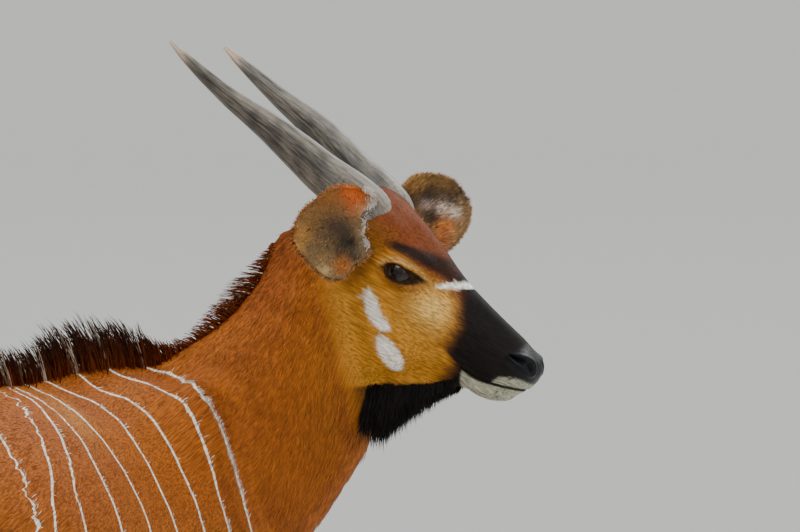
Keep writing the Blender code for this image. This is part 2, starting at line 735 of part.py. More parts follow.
def claw(name, along, side, spacing, half, plane_place, plane_normal):
    """One half of a cloven hoof: a flat sole on the floor under a top that meets the leg."""
    middle = side * spacing + half * CLAW_CENTRE
    bm = bmesh.new()
    rings = []
    for (length, width), height, reach in ((CLAW_SOLE, 0.0, CLAW_REACH), (CLAW_TOP, HOOF_HEIGHT, 0.0)):
        verts = bmesh.ops.create_circle(bm, cap_ends=False, segments=CLAW_SIDES, radius=1.0)["verts"]
        for vert in verts:
            forward, out = vert.co.x, vert.co.y
            vert.co = Vector((
                along + reach + forward * length,
                middle + out * width * (1.0 - 0.28 * forward),
                height,
            ))
            if height > 0.0:
                rise = (plane_place - vert.co).dot(plane_normal) / plane_normal.z
                vert.co.z += rise
        rings.append(verts)
    return join_rings(name, bm, rings)


def leg_foot(name):
    """Where a leg stands: x and y of its coronet and the plane of the cut there."""
    stations, along, side, spacing, _ = LEGS[name]
    coronet = stations[-2]
    place = Vector((along + coronet[0], side * spacing, HOOF_HEIGHT))
    normal = Matrix.Rotation(HOOF_TILT, 3, "Y") @ Vector((0.0, 0.0, 1.0))
    return place, normal


def make_hooves():
    made = []
    for name, (_, _, side, spacing, _) in LEGS.items():
        place, normal = leg_foot(name)
        for half, word in ((RIGHT, "outer" if side == RIGHT else "inner"), (LEFT, "inner" if side == RIGHT else "outer")):
            title = "hoof" + name[3:] + "_" + word
            top = place - normal * GAP / 2
            made.append(claw(title, place.x, side, spacing, half, top, normal))
    return made


def make_body(flesh):
    """The neck, the trunk and the legs, parted by thin cuts."""
    body = copy_of(flesh, "body")
    fused_skin(body, BODY_VOXEL, 8, BODY_FACES, TRUNK_PASSES)
    route = mane_route(body)
    combine(body, [mane_core("mane_core", route)] + mane_locks(route), "UNION")
    keep_largest(body)
    cut_away(body, HEAD_CUT_PLACE - HEAD_CUT_NORMAL * GAP / 2, -HEAD_CUT_NORMAL)
    plates = [slab("neck_cut", NECK_CUT_PLACE, NECK_CUT_NORMAL, 0.42, 0.40)]
    for name, (stations, along, side, spacing, height) in LEGS.items():
        reach = along + next(s[0] for s in stations if s[1] < height + 0.03)
        place = Vector((reach, side * 0.150, height))
        plates.append(slab("leg_cut", place, Vector((0.0, 0.0, 1.0)), 0.15, 0.135))
        place, normal = leg_foot(name)
        plates.append(slab("foot_cut", place, normal, 0.07, 0.07))
    combine(body, plates, "DIFFERENCE")
    return split_body(body)


def split_body(body):
    """Names the loose parts of the cut body by where they lie."""
    bm = bmesh.new()
    bm.from_mesh(body.data)
    made = []
    for part in surface_parts(bm):
        verts = {vert for face in part for vert in face.verts}
        middle = sum((vert.co for vert in verts), Vector()) / len(verts)
        top = max(vert.co.z for vert in verts)
        low = min(vert.co.z for vert in verts)
        if top < 0.10 or len(part) < 30:
            continue
        if low < 0.10:
            name = "leg_" + ("front" if middle.x > -0.5 else "hind")
            name += "_right" if middle.y < 0 else "_left"
        elif (middle - NECK_CUT_PLACE).dot(NECK_CUT_NORMAL) > 0:
            name = "neck"
        else:
            name = "torso"
        mesh = bpy.data.meshes.new(name)
        piece = bmesh.new()
        twins = {vert: piece.verts.new(vert.co) for vert in verts}
        for face in part:
            piece.faces.new([twins[vert] for vert in face.verts])
        piece.to_mesh(mesh)
        piece.free()
        made.append(add_object(name, mesh))
    bm.free()
    remove(body)
    return made


def make_tail():
    bm = bmesh.new()
    rings = []
    places = [Vector((along, 0.0, height)) for along, height, _ in TAIL_STATIONS]
    for index, (centre, station) in enumerate(zip(places, TAIL_STATIONS)):
        before = places[max(index - 1, 0)]
        after = places[min(index + 1, len(places) - 1)]
        forward = (after - before).normalized()
        left = Vector((0.0, 1.0, 0.0))
        place = frame_at(centre, forward, left, forward.cross(left))
        rings.append(ring(bm, place, station[2], station[2] * 0.8, station[2] * 0.8, TAIL_SIDES))
    tail = join_rings("tail", bm, rings)
    bm = bmesh.new()
    rings = []
    turn = Matrix.Rotation(math.pi / 2, 4, "Y")
    for height, radius in TUFT:
        place = Matrix.Translation((TAIL_STATIONS[-1][0], 0.0, height)) @ turn
        rings.append(ring(bm, place, radius, radius * 0.8, radius * 0.8, TAIL_SIDES))
    tuft = join_rings("tuft", bm, rings)
    combine(tail, [tuft] + tuft_locks(), "UNION")
    keep_largest(tail)
    return tail


def mane_core(name, route):
    """The close hair at the roots of the mane: a low blade along a line of points."""
    bm = bmesh.new()
    rings = []
    for index, (root, out, height) in enumerate(route):
        before = route[max(index - 1, 0)][0]
        after = route[min(index + 1, len(route) - 1)][0]
        side = (after - before).cross(out).normalized()
        forward = out.cross(side)
        place = frame_at(root, forward, side, out)
        rings.append(ring(bm, place, MANE_HALF_WIDTH, height * CORE_SHARE, LOCK_SINK, 6))
    return join_rings(name, bm, rings)


def lock(root, out, lie, length, width, depth, sink):
    """A flat tapered lock of hair: it leaves the skin along out and bends over to lie."""
    side = lie.cross(out).normalized()
    bm = bmesh.new()
    rings = []
    place = root - out * sink
    for share, breadth, turn in LOCK_FORM:
        way = (out * (1.0 - turn) + lie * turn).normalized()
        across = side.cross(way).normalized()
        if share > 0.0:
            place = place + way * ((length + sink) * share)
        frame = frame_at(place, way, side, across)
        rings.append(ring(bm, frame, depth * breadth / 2, width * breadth / 2, width * breadth / 2, 4))
    return join_rings("lock", bm, rings)


def surface_hit(tree, start, way):
    place, _, _, _ = tree.ray_cast(start, way)
    return place


def tree_of(item):
    bm = bmesh.new()
    bm.from_mesh(item.data)
    tree = BVHTree.FromBMesh(bm)
    bm.free()
    return tree


def mane_route(body):
    """Points from behind the horns down the nape and along the back, each with its way out and height."""
    tree = tree_of(body)
    places = neck_places()
    made = []
    for spot, height in NAPE_MANE:
        index = min(int(spot), len(places) - 2)
        blend = spot - index
        centre = places[index].translation.lerp(places[index + 1].translation, blend)
        up = places[index].to_3x3().col[2].lerp(places[index + 1].to_3x3().col[2], blend).normalized()
        made.append((surface_hit(tree, centre + up * 0.5, -up), up, height))
    for along, height in BACK_MANE:
        root = surface_hit(tree, Vector((along, 0.0, 1.6)), Vector((0.0, 0.0, -1.0)))
        made.append((root, Vector((-0.25, 0.0, 0.97)).normalized(), height))
    return made


def mane_locks(route):
    """Overlapping locks all along the mane, alternately a little left and right."""
    draw = random.Random(11)
    made = []
    carry = 0.0
    count = 0
    for (root, out, height), (next_root, next_out, next_height) in zip(route, route[1:]):
        span = (next_root - root).length
        while carry < span:
            share = carry / span
            spot = root.lerp(next_root, share)
            way = out.lerp(next_out, share).normalized()
            back = (next_root - root).normalized()
            side = back.cross(way).normalized()
            tall = height + (next_height - height) * share
            half = 1 if count % 2 else -1
            spot = spot + side * half * MANE_SPREAD
            way = (way + side * half * draw.uniform(0.02, 0.16)).normalized()
            lean = (back + way * 0.35 + side * draw.uniform(-0.15, 0.15)).normalized()
            made.append(lock(
                spot, way, lean, tall * draw.uniform(0.86, 1.10), MANE_LOCK_WIDTH,
                MANE_LOCK_DEPTH, LOCK_SINK,
            ))
            carry += MANE_PITCH * draw.uniform(0.85, 1.15)
            count += 1
        carry -= span
    return made


def beard_locks():
    """Locks that hang from under the jaw, longest at the throat."""
    draw = random.Random(23)
    made = []
    down = Vector((0.0, 0.0, -1.0))
    ahead = Vector((HEAD_FORWARD.x, HEAD_FORWARD.y, 0.0)).normalized()
    for first, second in zip(BEARD_STATIONS, BEARD_STATIONS[1:]):
        for half in (-1.0, -0.35, 0.35, 1.0, 0.0):
            share = draw.uniform(0.0, 1.0)
            along, height, drop, width = (a + (b - a) * share for a, b in zip(first, second))
            root = HEAD @ Vector((along, half * width * 0.70, height + abs(half) * 0.008))
            out = (down + HEAD_LEFT * half * 0.20 - ahead * 0.15).normalized()
            lie = (down * 0.8 + ahead * draw.uniform(0.2, 0.5) - HEAD_LEFT * half * 0.1).normalized()
            made.append(lock(root, out, lie, drop * draw.uniform(0.70, 1.0), 0.030, 0.013, LOCK_SINK))
    return made


def tuft_locks():
    """Locks round the end of the tail, that fall to a ragged point."""
    draw = random.Random(31)
    made = []
    stem = Vector((TAIL_STATIONS[-1][0], 0.0, 0.0))
    for row, (height, length) in enumerate(TUFT_ROWS):
        for step in range(TUFT_ROUND):
            angle = 2 * math.pi * (step + 0.5 * row) / TUFT_ROUND
            side = Vector((math.cos(angle), math.sin(angle), 0.0))
            root = stem + side * 0.007 + Vector((0.0, 0.0, height))
            out = (side * 0.28 - Vector((0.0, 0.0, 1.0))).normalized()
            lie = (Vector((0.0, 0.0, -1.0)) - side * 0.30).normalized()
            tall = length * draw.uniform(0.88, 1.08)
            made.append(lock(root, out, lie, tall, 0.022, 0.012, 0.006))
    return made


def beard_form():
    """The plain form of the hair under the jaw, out to its tips."""
    bm = bmesh.new()
    rings = []
    across = Vector((HEAD_FORWARD.x, HEAD_FORWARD.y, 0.0)).normalized()
    for along, height, drop, width in BEARD_STATIONS:
        root = HEAD @ Vector((along, 0.0, height))
        place = frame_at(root, across, HEAD_LEFT, Vector((0.0, 0.0, 1.0)))
        rings.append(ring(bm, place, width, 0.018, drop * CORE_SHARE, 10))
    return join_rings("beard", bm, rings)


def centre_on_floor(items):
    """Moves the whole so that the middle of its box is over the origin."""
    xs = [v.co.x for item in items for v in item.data.vertices]
    ys = [v.co.y for item in items for v in item.data.vertices]
    shift = Matrix.Translation((-(min(xs) + max(xs)) / 2, -(min(ys) + max(ys)) / 2, 0.0))
    for item in items:
        item.data.transform(shift)


def finish_looks(items):
    chestnut = material("chestnut coat", (0.36, 0.11, 0.03), 0.7)
    horn_grey = material("horn", (0.10, 0.08, 0.07), 0.45)
    hoof_black = material("hoof", (0.03, 0.025, 0.02), 0.5)
    eye_dark = material("eye", (0.02, 0.012, 0.008), 0.08)
    for item in items:
        kind = item.name.split("_")[0]
        chosen = {"horn": horn_grey, "hoof": hoof_black, "eye": eye_dark}.get(kind, chestnut)
        item.data.materials.clear()
        item.data.materials.append(chosen)
        item.data.shade_smooth()


def build():
    clear_scene()
    flesh = flesh_forms()
    head = make_head(flesh)
    parts = make_body(flesh)
    remove(flesh)
    by_name = {item.name: item for item in parts}
    for item in [head] + parts:
        mend(item)
        keep_largest(item)
    cover = grown(head, "cover", GAP)
    horns = [horn(name, *row) for name, row in HORN_SET.items()]
    ears = [ear(name, *row) for name, row in EARS.items()]
    for item in horns:
        combine(item, [copy_of(cover, "cover_cut")], "DIFFERENCE")
        mend(item)
        keep_largest(item)
    for item, beside in zip(ears, horns):
        combine(item, [copy_of(cover, "cover_cut"), grown(beside, "horn_cut", EAR_CLEAR)], "DIFFERENCE")
        mend(item)
        keep_largest(item)
    remove(cover)
    tail = make_tail()
    cover = grown(by_name["torso"], "torso_cover", GAP)
    combine(tail, [cover], "DIFFERENCE")
    mend(tail)
    keep_largest(tail)
    made = [head, tail] + parts + horns + ears + make_eyes() + make_hooves()
    centre_on_floor(made)
    finish_looks(made)


build()
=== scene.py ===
import math

import bpy
import bmesh
import numpy as np
from mathutils import Matrix, Vector
from mathutils.bvhtree import BVHTree


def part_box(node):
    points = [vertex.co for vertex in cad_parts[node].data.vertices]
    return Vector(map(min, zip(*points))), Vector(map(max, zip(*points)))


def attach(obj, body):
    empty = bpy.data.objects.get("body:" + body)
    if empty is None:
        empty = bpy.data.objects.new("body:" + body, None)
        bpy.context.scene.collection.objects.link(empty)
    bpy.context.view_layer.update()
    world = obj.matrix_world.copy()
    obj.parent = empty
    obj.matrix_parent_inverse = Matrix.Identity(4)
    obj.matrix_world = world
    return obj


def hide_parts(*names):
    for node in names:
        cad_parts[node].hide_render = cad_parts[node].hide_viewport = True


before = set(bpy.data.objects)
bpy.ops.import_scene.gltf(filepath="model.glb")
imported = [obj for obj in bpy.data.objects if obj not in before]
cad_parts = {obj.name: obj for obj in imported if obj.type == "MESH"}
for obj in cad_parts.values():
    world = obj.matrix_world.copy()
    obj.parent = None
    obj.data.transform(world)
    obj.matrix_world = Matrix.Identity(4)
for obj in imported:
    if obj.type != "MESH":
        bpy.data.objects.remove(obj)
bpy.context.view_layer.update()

# Hide: the skin of head, neck, trunk, legs and tail in one piece, of tanned leather that is drawn
# tight over a carved form and sewn along the belly. It lies inside the solids by the depth of the
# coat, and is pressed in at the mouth, the nostrils and the lids.
FLESH = (
    "head", "neck", "torso", "tail",
    "leg_front_right", "leg_front_left", "leg_hind_right", "leg_hind_left",
)
SKIN_VOXEL = 0.0052
SKIN_TRIANGLES = 196000
SEAM_SWELL = 0.0004
JOIN_GAP = 0.00002
COAT_DEPTH = 0.0032


def unit(v):
    """Each row drawn to a length of 1."""
    return v / np.maximum(np.linalg.norm(v, axis=-1, keepdims=True), 1e-9)


def smoothstep(low, high, value):
    """0 at low and 1 at high, with an eased way between them."""
    part = np.clip((value - low) / (high - low), 0.0, 1.0)
    return part * part * (3.0 - 2.0 * part)


def points_of(mesh):
    """The points of a mesh, one row each."""
    flat = np.empty(len(mesh.vertices) * 3)
    mesh.vertices.foreach_get("co", flat)
    return flat.reshape(-1, 3)


def normals_of(mesh):
    """The way out of a mesh at each of its points."""
    flat = np.empty(len(mesh.vertices) * 3)
    mesh.vertices.foreach_get("normal", flat)
    return flat.reshape(-1, 3)


def put_points(mesh, places):
    """Moves the points of a mesh to these places."""
    mesh.vertices.foreach_set("co", np.ascontiguousarray(places, dtype=np.float64).ravel())
    mesh.update()


def mesh_of(bm, name):
    """The mesh of a finished shape; the shape is let go."""
    mesh = bpy.data.meshes.new(name)
    bm.to_mesh(mesh)
    bm.free()
    return mesh


def placed(name, mesh):
    """An object that holds a mesh, in the scene."""
    item = bpy.data.objects.new(name, mesh)
    bpy.context.scene.collection.objects.link(item)
    return item


def applied(item):
    """The mesh of an object with its modifiers applied; the object is dropped."""
    graph = bpy.context.evaluated_depsgraph_get()
    mesh = bpy.data.meshes.new_from_object(item.evaluated_get(graph))
    bpy.data.objects.remove(item)
    return mesh


def surface_of(mesh):
    """A mesh's faces as a tree that rays are cast at."""
    bm = bmesh.new()
    bm.from_mesh(mesh)
    tree = BVHTree.FromBMesh(bm)
    bm.free()
    return tree


# The head is measured from the middle between the eyes: s runs to the nose, y to the head's left and
# t up through the crown. The body is measured from the floor below the withers.
HEAD_PITCH = math.radians(42.0)
EYES_FROM_WITHERS = (0.308, -0.270, 1.292)
WITHERS_HEIGHT = 1.15
eye_centres = {}
for side, name in ((-1, "eye_right"), (1, "eye_left")):
    low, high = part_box(name)
    eye_centres[side] = (Vector(low) + Vector(high)) / 2
head_left = (eye_centres[1] - eye_centres[-1]).normalized()
head_level = head_left.cross(Vector((0.0, 0.0, 1.0)))
head_forward = head_level * math.cos(HEAD_PITCH) - Vector((0.0, 0.0, 1.0)) * math.sin(HEAD_PITCH)
head_up = head_forward.cross(head_left)
HEAD_AXES = np.array([head_forward, head_left, head_up])
HEAD_ORIGIN = np.array((eye_centres[1] + eye_centres[-1]) / 2)
WITHERS = HEAD_ORIGIN - np.array(EYES_FROM_WITHERS)
BELOW_WITHERS = np.array((WITHERS[0], WITHERS[1], 0.0))


def in_head(places):
    """Places in metres as s, y and t of the head."""
    return (places - HEAD_ORIGIN) @ HEAD_AXES.T


def from_head(places):
    """Places given as s, y and t of the head, in metres."""
    return np.asarray(places) @ HEAD_AXES + HEAD_ORIGIN


def past_throat(s, t):
    """Distance in front of the plane where the neck ends and the head begins."""
    return 0.555 * (s - 0.055) + 0.832 * (t + 0.173)


def along_line(places, line):
    """Distance to a line of points, and how far along it the nearest place is, as a share."""
    line = np.asarray(line, dtype=float)
    spans = np.linalg.norm(np.diff(line, axis=0), axis=1)
    marks = np.concatenate(([0.0], np.cumsum(spans)))
    best = np.full(len(places), 1e9)
    share = np.zeros(len(places))
    for a, b, start, span in zip(line, line[1:], marks, spans):
        part = np.clip(((places - a) @ (b - a)) / span ** 2, 0.0, 1.0)
        away = np.linalg.norm(places - a - part[:, None] * (b - a), axis=1)
        near = away < best
        best[near] = away[near]
        share[near] = ((start + part * span) / marks[-1])[near]
    return best, share


# the eyeballs fill the sockets, and a round foot of bone carries each horn
SOCKET_RADIUS = 0.0232
SOCKET_DEPTH = 0.004
HORN_FOOT = (-0.069, 0.041, 0.019)
HORN_FOOT_RADIUS = 0.0385
bm = bmesh.new()
for name in FLESH:
    bm.from_mesh(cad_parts[name].data)
bmesh.ops.remove_doubles(bm, verts=bm.verts, dist=JOIN_GAP)
for side in (-1, 1):
    centre = eye_centres[side] - head_left * side * SOCKET_DEPTH
    bmesh.ops.create_icosphere(bm, subdivisions=3, radius=SOCKET_RADIUS, matrix=Matrix.Translation(centre))
    foot = Vector(from_head(np.array((HORN_FOOT[0], side * HORN_FOOT[1], HORN_FOOT[2]))))
    bmesh.ops.create_icosphere(bm, subdivisions=3, radius=HORN_FOOT_RADIUS, matrix=Matrix.Translation(foot))
bmesh.ops.recalc_face_normals(bm, faces=bm.faces)
raw = mesh_of(bm, "raw")
put_points(raw, points_of(raw) + normals_of(raw) * SEAM_SWELL)
item = placed("raw", raw)
fuse = item.modifiers.new("fuse", "REMESH")
fuse.mode = "VOXEL"
fuse.voxel_size = SKIN_VOXEL
skin_mesh = applied(item)

# the mane and the beard of the solids are let down to the surface between their roots: whatever is
# thinner than a lock, from the skin inwards, counts as hair
NAPE_LINE = (
    (0.03, 0.0, 1.17), (0.085, -0.02, 1.18), (0.15, -0.07, 1.22), (0.19, -0.13, 1.29),
    (0.22, -0.17, 1.35), (0.245, -0.20, 1.385),
)
NAPE_REACH = 0.085
BACK_HALF_WIDTH, BACK_LOW, BACK_FRONT, BACK_REAR = 0.045, 1.06, 0.12, -1.06
MANE_THICKNESS, BEARD_THICKNESS, FEELER = 0.046, 0.034, 0.055
SETTLING_TURNS = 700
places = points_of(skin_mesh)
outward = normals_of(skin_mesh)
body = places - BELOW_WITHERS
s, side, t = in_head(places).T
skin_tree = surface_of(skin_mesh)
on_back = (np.abs(body[:, 1]) < BACK_HALF_WIDTH) & (body[:, 2] > BACK_LOW)
on_back &= (body[:, 0] < BACK_FRONT) & (body[:, 0] > BACK_REAR)
away, _ = along_line(body, NAPE_LINE)
on_nape = (away < NAPE_REACH) & (body[:, 0] > 0.0)
under_jaw = (s > 0.030) & (t < -0.060) & (np.abs(side) < 0.045) & (s < 0.19)
thin = np.zeros(len(places))
for index in np.nonzero(on_back | on_nape | under_jaw)[0]:
    start = Vector(places[index] - outward[index] * 0.0005)
    hit = skin_tree.ray_cast(start, Vector(-outward[index]), FEELER)
    limit = BEARD_THICKNESS if under_jaw[index] else MANE_THICKNESS
    if hit[0] is not None and hit[3] < limit:
        thin[index] = 1.0

# the tuft is drawn in to the stem of the tail, a cord of flesh 26 mm thick at its root
TAIL_LINE = np.array(((-1.176, 0.0, 0.880), (-1.180, 0.0, 0.800), (-1.182, 0.0, 0.720), (-1.182, 0.0, 0.640)))
TUFT_FRONT, TUFT_TOP = -1.10, 0.76
away, part = along_line(body, TAIL_LINE)
in_tuft = (body[:, 0] < TUFT_FRONT) & (body[:, 2] < TUFT_TOP)
stem = 0.013 - 0.003 * part
marks = np.linspace(0, 1, len(TAIL_LINE))
in_stem = np.stack([np.interp(part, marks, TAIL_LINE[:, axis]) for axis in range(3)], axis=1)
drawn_in = in_stem + unit(body - in_stem) * stem[:, None] + BELOW_WITHERS
places = np.where((in_tuft & (away > stem))[:, None], drawn_in, places)

edges = np.empty(len(skin_mesh.edges) * 2, dtype=np.int64)
skin_mesh.edges.foreach_get("vertices", edges)
edges = edges.reshape(-1, 2)
for _ in range(5):
    spread = thin.copy()
    np.maximum.at(spread, edges[:, 0], thin[edges[:, 1]])
    np.maximum.at(spread, edges[:, 1], thin[edges[:, 0]])
    thin = spread
free = thin > 0.5
links = np.vstack([edges, edges[:, ::-1]])
links = links[free[links[:, 0]]]
links = links[np.argsort(links[:, 0], kind="stable")]
starts = np.flatnonzero(np.diff(links[:, 0], prepend=-1))
moving = links[starts, 0]
count = np.diff(np.append(starts, len(links)))[:, None]
for _ in range(SETTLING_TURNS):
    places[moving] = np.add.reduceat(places[links[:, 1]], starts, axis=0) / count
put_points(skin_mesh, places)
item = placed("raw", skin_mesh)
again = item.modifiers.new("again", "REMESH")
again.mode = "VOXEL"
again.voxel_size = SKIN_VOXEL
ease = item.modifiers.new("ease", "SMOOTH")
ease.factor = 0.5
ease.iterations = 8
skin_mesh = applied(item)

# only the largest piece is kept, then cut finer on the head, and finest round the eyes and muzzle
bm = bmesh.new()
bm.from_mesh(skin_mesh)
parts = []
left_over = set(bm.verts)
while left_over:
    stack = [left_over.pop()]
    group = [stack[0]]
    while stack:
        for edge in stack.pop().link_edges:
            for vert in edge.verts:
                if vert in left_over:
                    left_over.discard(vert)
                    stack.append(vert)
                    group.append(vert)
    parts.append(group)
parts.sort(key=len)
for group in parts[:-1]:
    bmesh.ops.delete(bm, geom=group, context="VERTS")
for reach in ("head", "features"):
    chosen = set()
    for vert in bm.verts:
        ahead, across, above = in_head(np.array(vert.co)[None])[0]
        if reach == "head":
            near = ahead > -0.15 and above > -0.19 and abs(across) < 0.12 and past_throat(ahead, above) > -0.02
        else:
            near = np.hypot(ahead, above) < 0.040 or ahead > 0.145
        if near:
            chosen.add(vert.index)
    cut = [edge for edge in bm.edges if edge.verts[0].index in chosen and edge.verts[1].index in chosen]
    bmesh.ops.subdivide_edges(bm, edges=cut, cuts=1, use_grid_fill=True, smooth=0.0)
    bm.verts.index_update()
    bm.normal_update()
bmesh.ops.triangulate(bm, faces=[face for face in bm.faces if len(face.verts) > 4])
skin_mesh = mesh_of(bm, "skin")

s, side, t = in_head(points_of(skin_mesh)).T
head_share = smoothstep(-0.16, -0.13, s) * smoothstep(-0.03, 0.0, past_throat(s, t))
item = placed("skin", skin_mesh)
group = item.vertex_groups.new(name="head")
for index in np.nonzero(head_share > 0)[0]:
    group.add([int(index)], float(head_share[index]), "REPLACE")
ease = item.modifiers.new("ease", "SMOOTH")
ease.vertex_group = "head"
ease.factor = 0.5
ease.iterations = 4
skin_mesh = applied(item)

# the muzzle has next to no coat
places = points_of(skin_mesh)
outward = normals_of(skin_mesh)
q = in_head(places)
s, side, t = q.T
muzzle = smoothstep(0.15, 0.21, s)
places = places - outward * (COAT_DEPTH * (1 - 0.85 * muzzle))[:, None]

# mouth line, nostrils and the crease of the cheek are pressed into the skin
MOUTH = (
    (0.1565, -0.0459), (0.172, -0.0450), (0.189, -0.0395), (0.206, -0.0300), (0.220, -0.0225),
    (0.236, -0.0135), (0.244, -0.0098),
)
CHEEK_CREASE = ((0.128, -0.034), (0.142, -0.034), (0.160, -0.032))
NOSTRIL = (
    (0.2000, 0.0330, 0.0200), (0.2150, 0.0325, 0.0255), (0.2300, 0.0240, 0.0270), (0.2350, 0.0210, 0.0230),
)
NOSTRIL_WIDTHS = ((0.0, 0.35, 0.8, 1.0), (0.0018, 0.0045, 0.0065, 0.0050))
MOUTH_DEPTH, CREASE_DEPTH, NOSTRIL_DEPTH, NOSTRIL_RIM = 0.0032, 0.0016, 0.0085, 0.0014
mouth_away, _ = along_line(np.stack([s, t], axis=1), MOUTH)
press = MOUTH_DEPTH * np.exp(-(mouth_away / 0.0016) ** 2) * (np.abs(side) < 0.06)
fold_away, _ = along_line(np.stack([s, t], axis=1), CHEEK_CREASE)
press += CREASE_DEPTH * np.exp(-(fold_away / 0.004) ** 2)
for way in (-1, 1):
    away, part = along_line(q, np.array(NOSTRIL) * (1, way, 1))
    wide = np.interp(part, *NOSTRIL_WIDTHS)
    press += NOSTRIL_DEPTH * smoothstep(wide * 1.25, wide * 0.45, away)
    press -= NOSTRIL_RIM * np.exp(-((away - wide * 1.7) / 0.0025) ** 2)
places = places - outward * press[:, None]

# lids close over the eyeballs round an almond opening that slants down towards the back
EYE_LENGTH = 0.046
EYE_OPENING = 0.0205
EYE_SLANT = math.radians(20.0)
LID_FOLD_DEPTH = 0.0012


def eye_plane(s, t):
    """Places along and across the almond of an eye."""
    cos, sin = math.cos(EYE_SLANT), math.sin(EYE_SLANT)
    return s * cos + t * sin, -s * sin + t * cos


def almond_value(u, w):
    """Distance outside the almond, negative within it."""
    radius = (EYE_LENGTH ** 2 + EYE_OPENING ** 2) / (4 * EYE_OPENING)
    reach = radius - EYE_OPENING / 2
    return np.hypot(np.where(u > 0, u * 0.74, u), np.abs(w) + reach) - radius


for way, centre in eye_centres.items():
    centre = in_head(np.array(centre)[None])[0]
    local = in_head(places) - centre
    u, w = eye_plane(local[:, 0], local[:, 2])
    almond = almond_value(u, w)
    near = (local[:, 1] * way > -0.012) & (np.linalg.norm(local, axis=1) < 0.055)
    lid = 0.0205 + 0.0024 - 0.0008 * smoothstep(0.004, 0.0, almond)
    wanted = unit(local) * np.where(almond > 0.0, lid, 0.0170)[:, None]
    share = smoothstep(0.0135, 0.0040, almond) * near
    crease = np.exp(-((almond - 0.0075) / 0.0012) ** 2) * (w > 0)
    crease = crease * smoothstep(0.028, 0.02, np.abs(u)) * LID_FOLD_DEPTH
    moved = local + (wanted - local) * share[:, None]
    moved -= unit(local) * (crease * near)[:, None]
    places = np.where(near[:, None], from_head(moved + centre), places)
put_points(skin_mesh, places)
skin_mesh.calc_loop_triangles()
item = placed("skin", skin_mesh)
fewer = item.modifiers.new("fewer", "DECIMATE")
fewer.ratio = SKIN_TRIANGLES / len(skin_mesh.loop_triangles)
skin_mesh = applied(item)
skin_places = points_of(skin_mesh)
skin_normals = normals_of(skin_mesh)

# Markings: the colours of the hide and of the hair that grows on it, red-brown with white stripes and
# a white crescent on the chest, a black muzzle with white cheek spots, and dark lower legs. On the real
# hide they are the hair's own colours, so one function gives them for the skin and for each tuft; it
# also paints shade into the crease of the neck, down the flank and under the belly, and a sheen at the whorl.

# the way to someone who looks at the right side of the neck from ahead, and the way across their view
TO_VIEWER = np.array((-0.8187, -0.5732, 0.0))
ACROSS_VIEW = np.array((0.5736, -0.8192, 0.0))


def colour(text):
    """A hex colour of the screen as the linear colour of the renderer."""
    parts = [int(text[i:i + 2], 16) / 255 for i in (0, 2, 4)]
    return [c / 12.92 if c <= 0.04045 else ((c + 0.055) / 1.055) ** 2.4 for c in parts] + [1.0]


def tint_of(text):
    """The same without its alpha, for mixing."""
    return np.array(colour(text)[:3])


def paint(mesh, name, values):
    """Stores one linear colour for each point of a mesh."""
    layer = mesh.color_attributes.new(name, "FLOAT_COLOR", "POINT")
    four = np.ones((len(values), 4), dtype=np.float32)
    four[:, :3] = values
    layer.data.foreach_set("color", four.ravel())


def ripple(places, size, seed):
    """A smooth wave of about so many metres, for edges and tints that wander."""
    waves = np.random.default_rng(seed)
    total = np.zeros(len(places))
    for turn in range(5):
        way = unit(waves.normal(size=3))
        total += np.sin(places @ way * (2 * math.pi / size) * (0.7 + 0.25 * turn) + waves.uniform(0, 6.28))
    return total / 5


def inside(s, t, outline, soft):
    """1 within a closed outline of s and t, 0 outside, with a soft edge."""
    outline = np.asarray(outline, dtype=float)
    within = np.zeros(len(s), dtype=bool)
    for (sa, ta), (sb, tb) in zip(outline, np.roll(outline, -1, axis=0)):
        crosses = (ta > t) != (tb > t)
        with np.errstate(divide="ignore", invalid="ignore"):
            at = sa + (t - ta) * (sb - sa) / (tb - ta)
        within ^= crosses & (s < at)
    away, _ = along_line(np.stack([s, t], axis=1), np.vstack([outline, outline[:1]]))
    away = np.where(within, away, -away)
    return smoothstep(-soft, soft, away)


def columns(rows):
    """The first and the second numbers of a list of pairs."""
    return [row[0] for row in rows], [row[1] for row in rows]


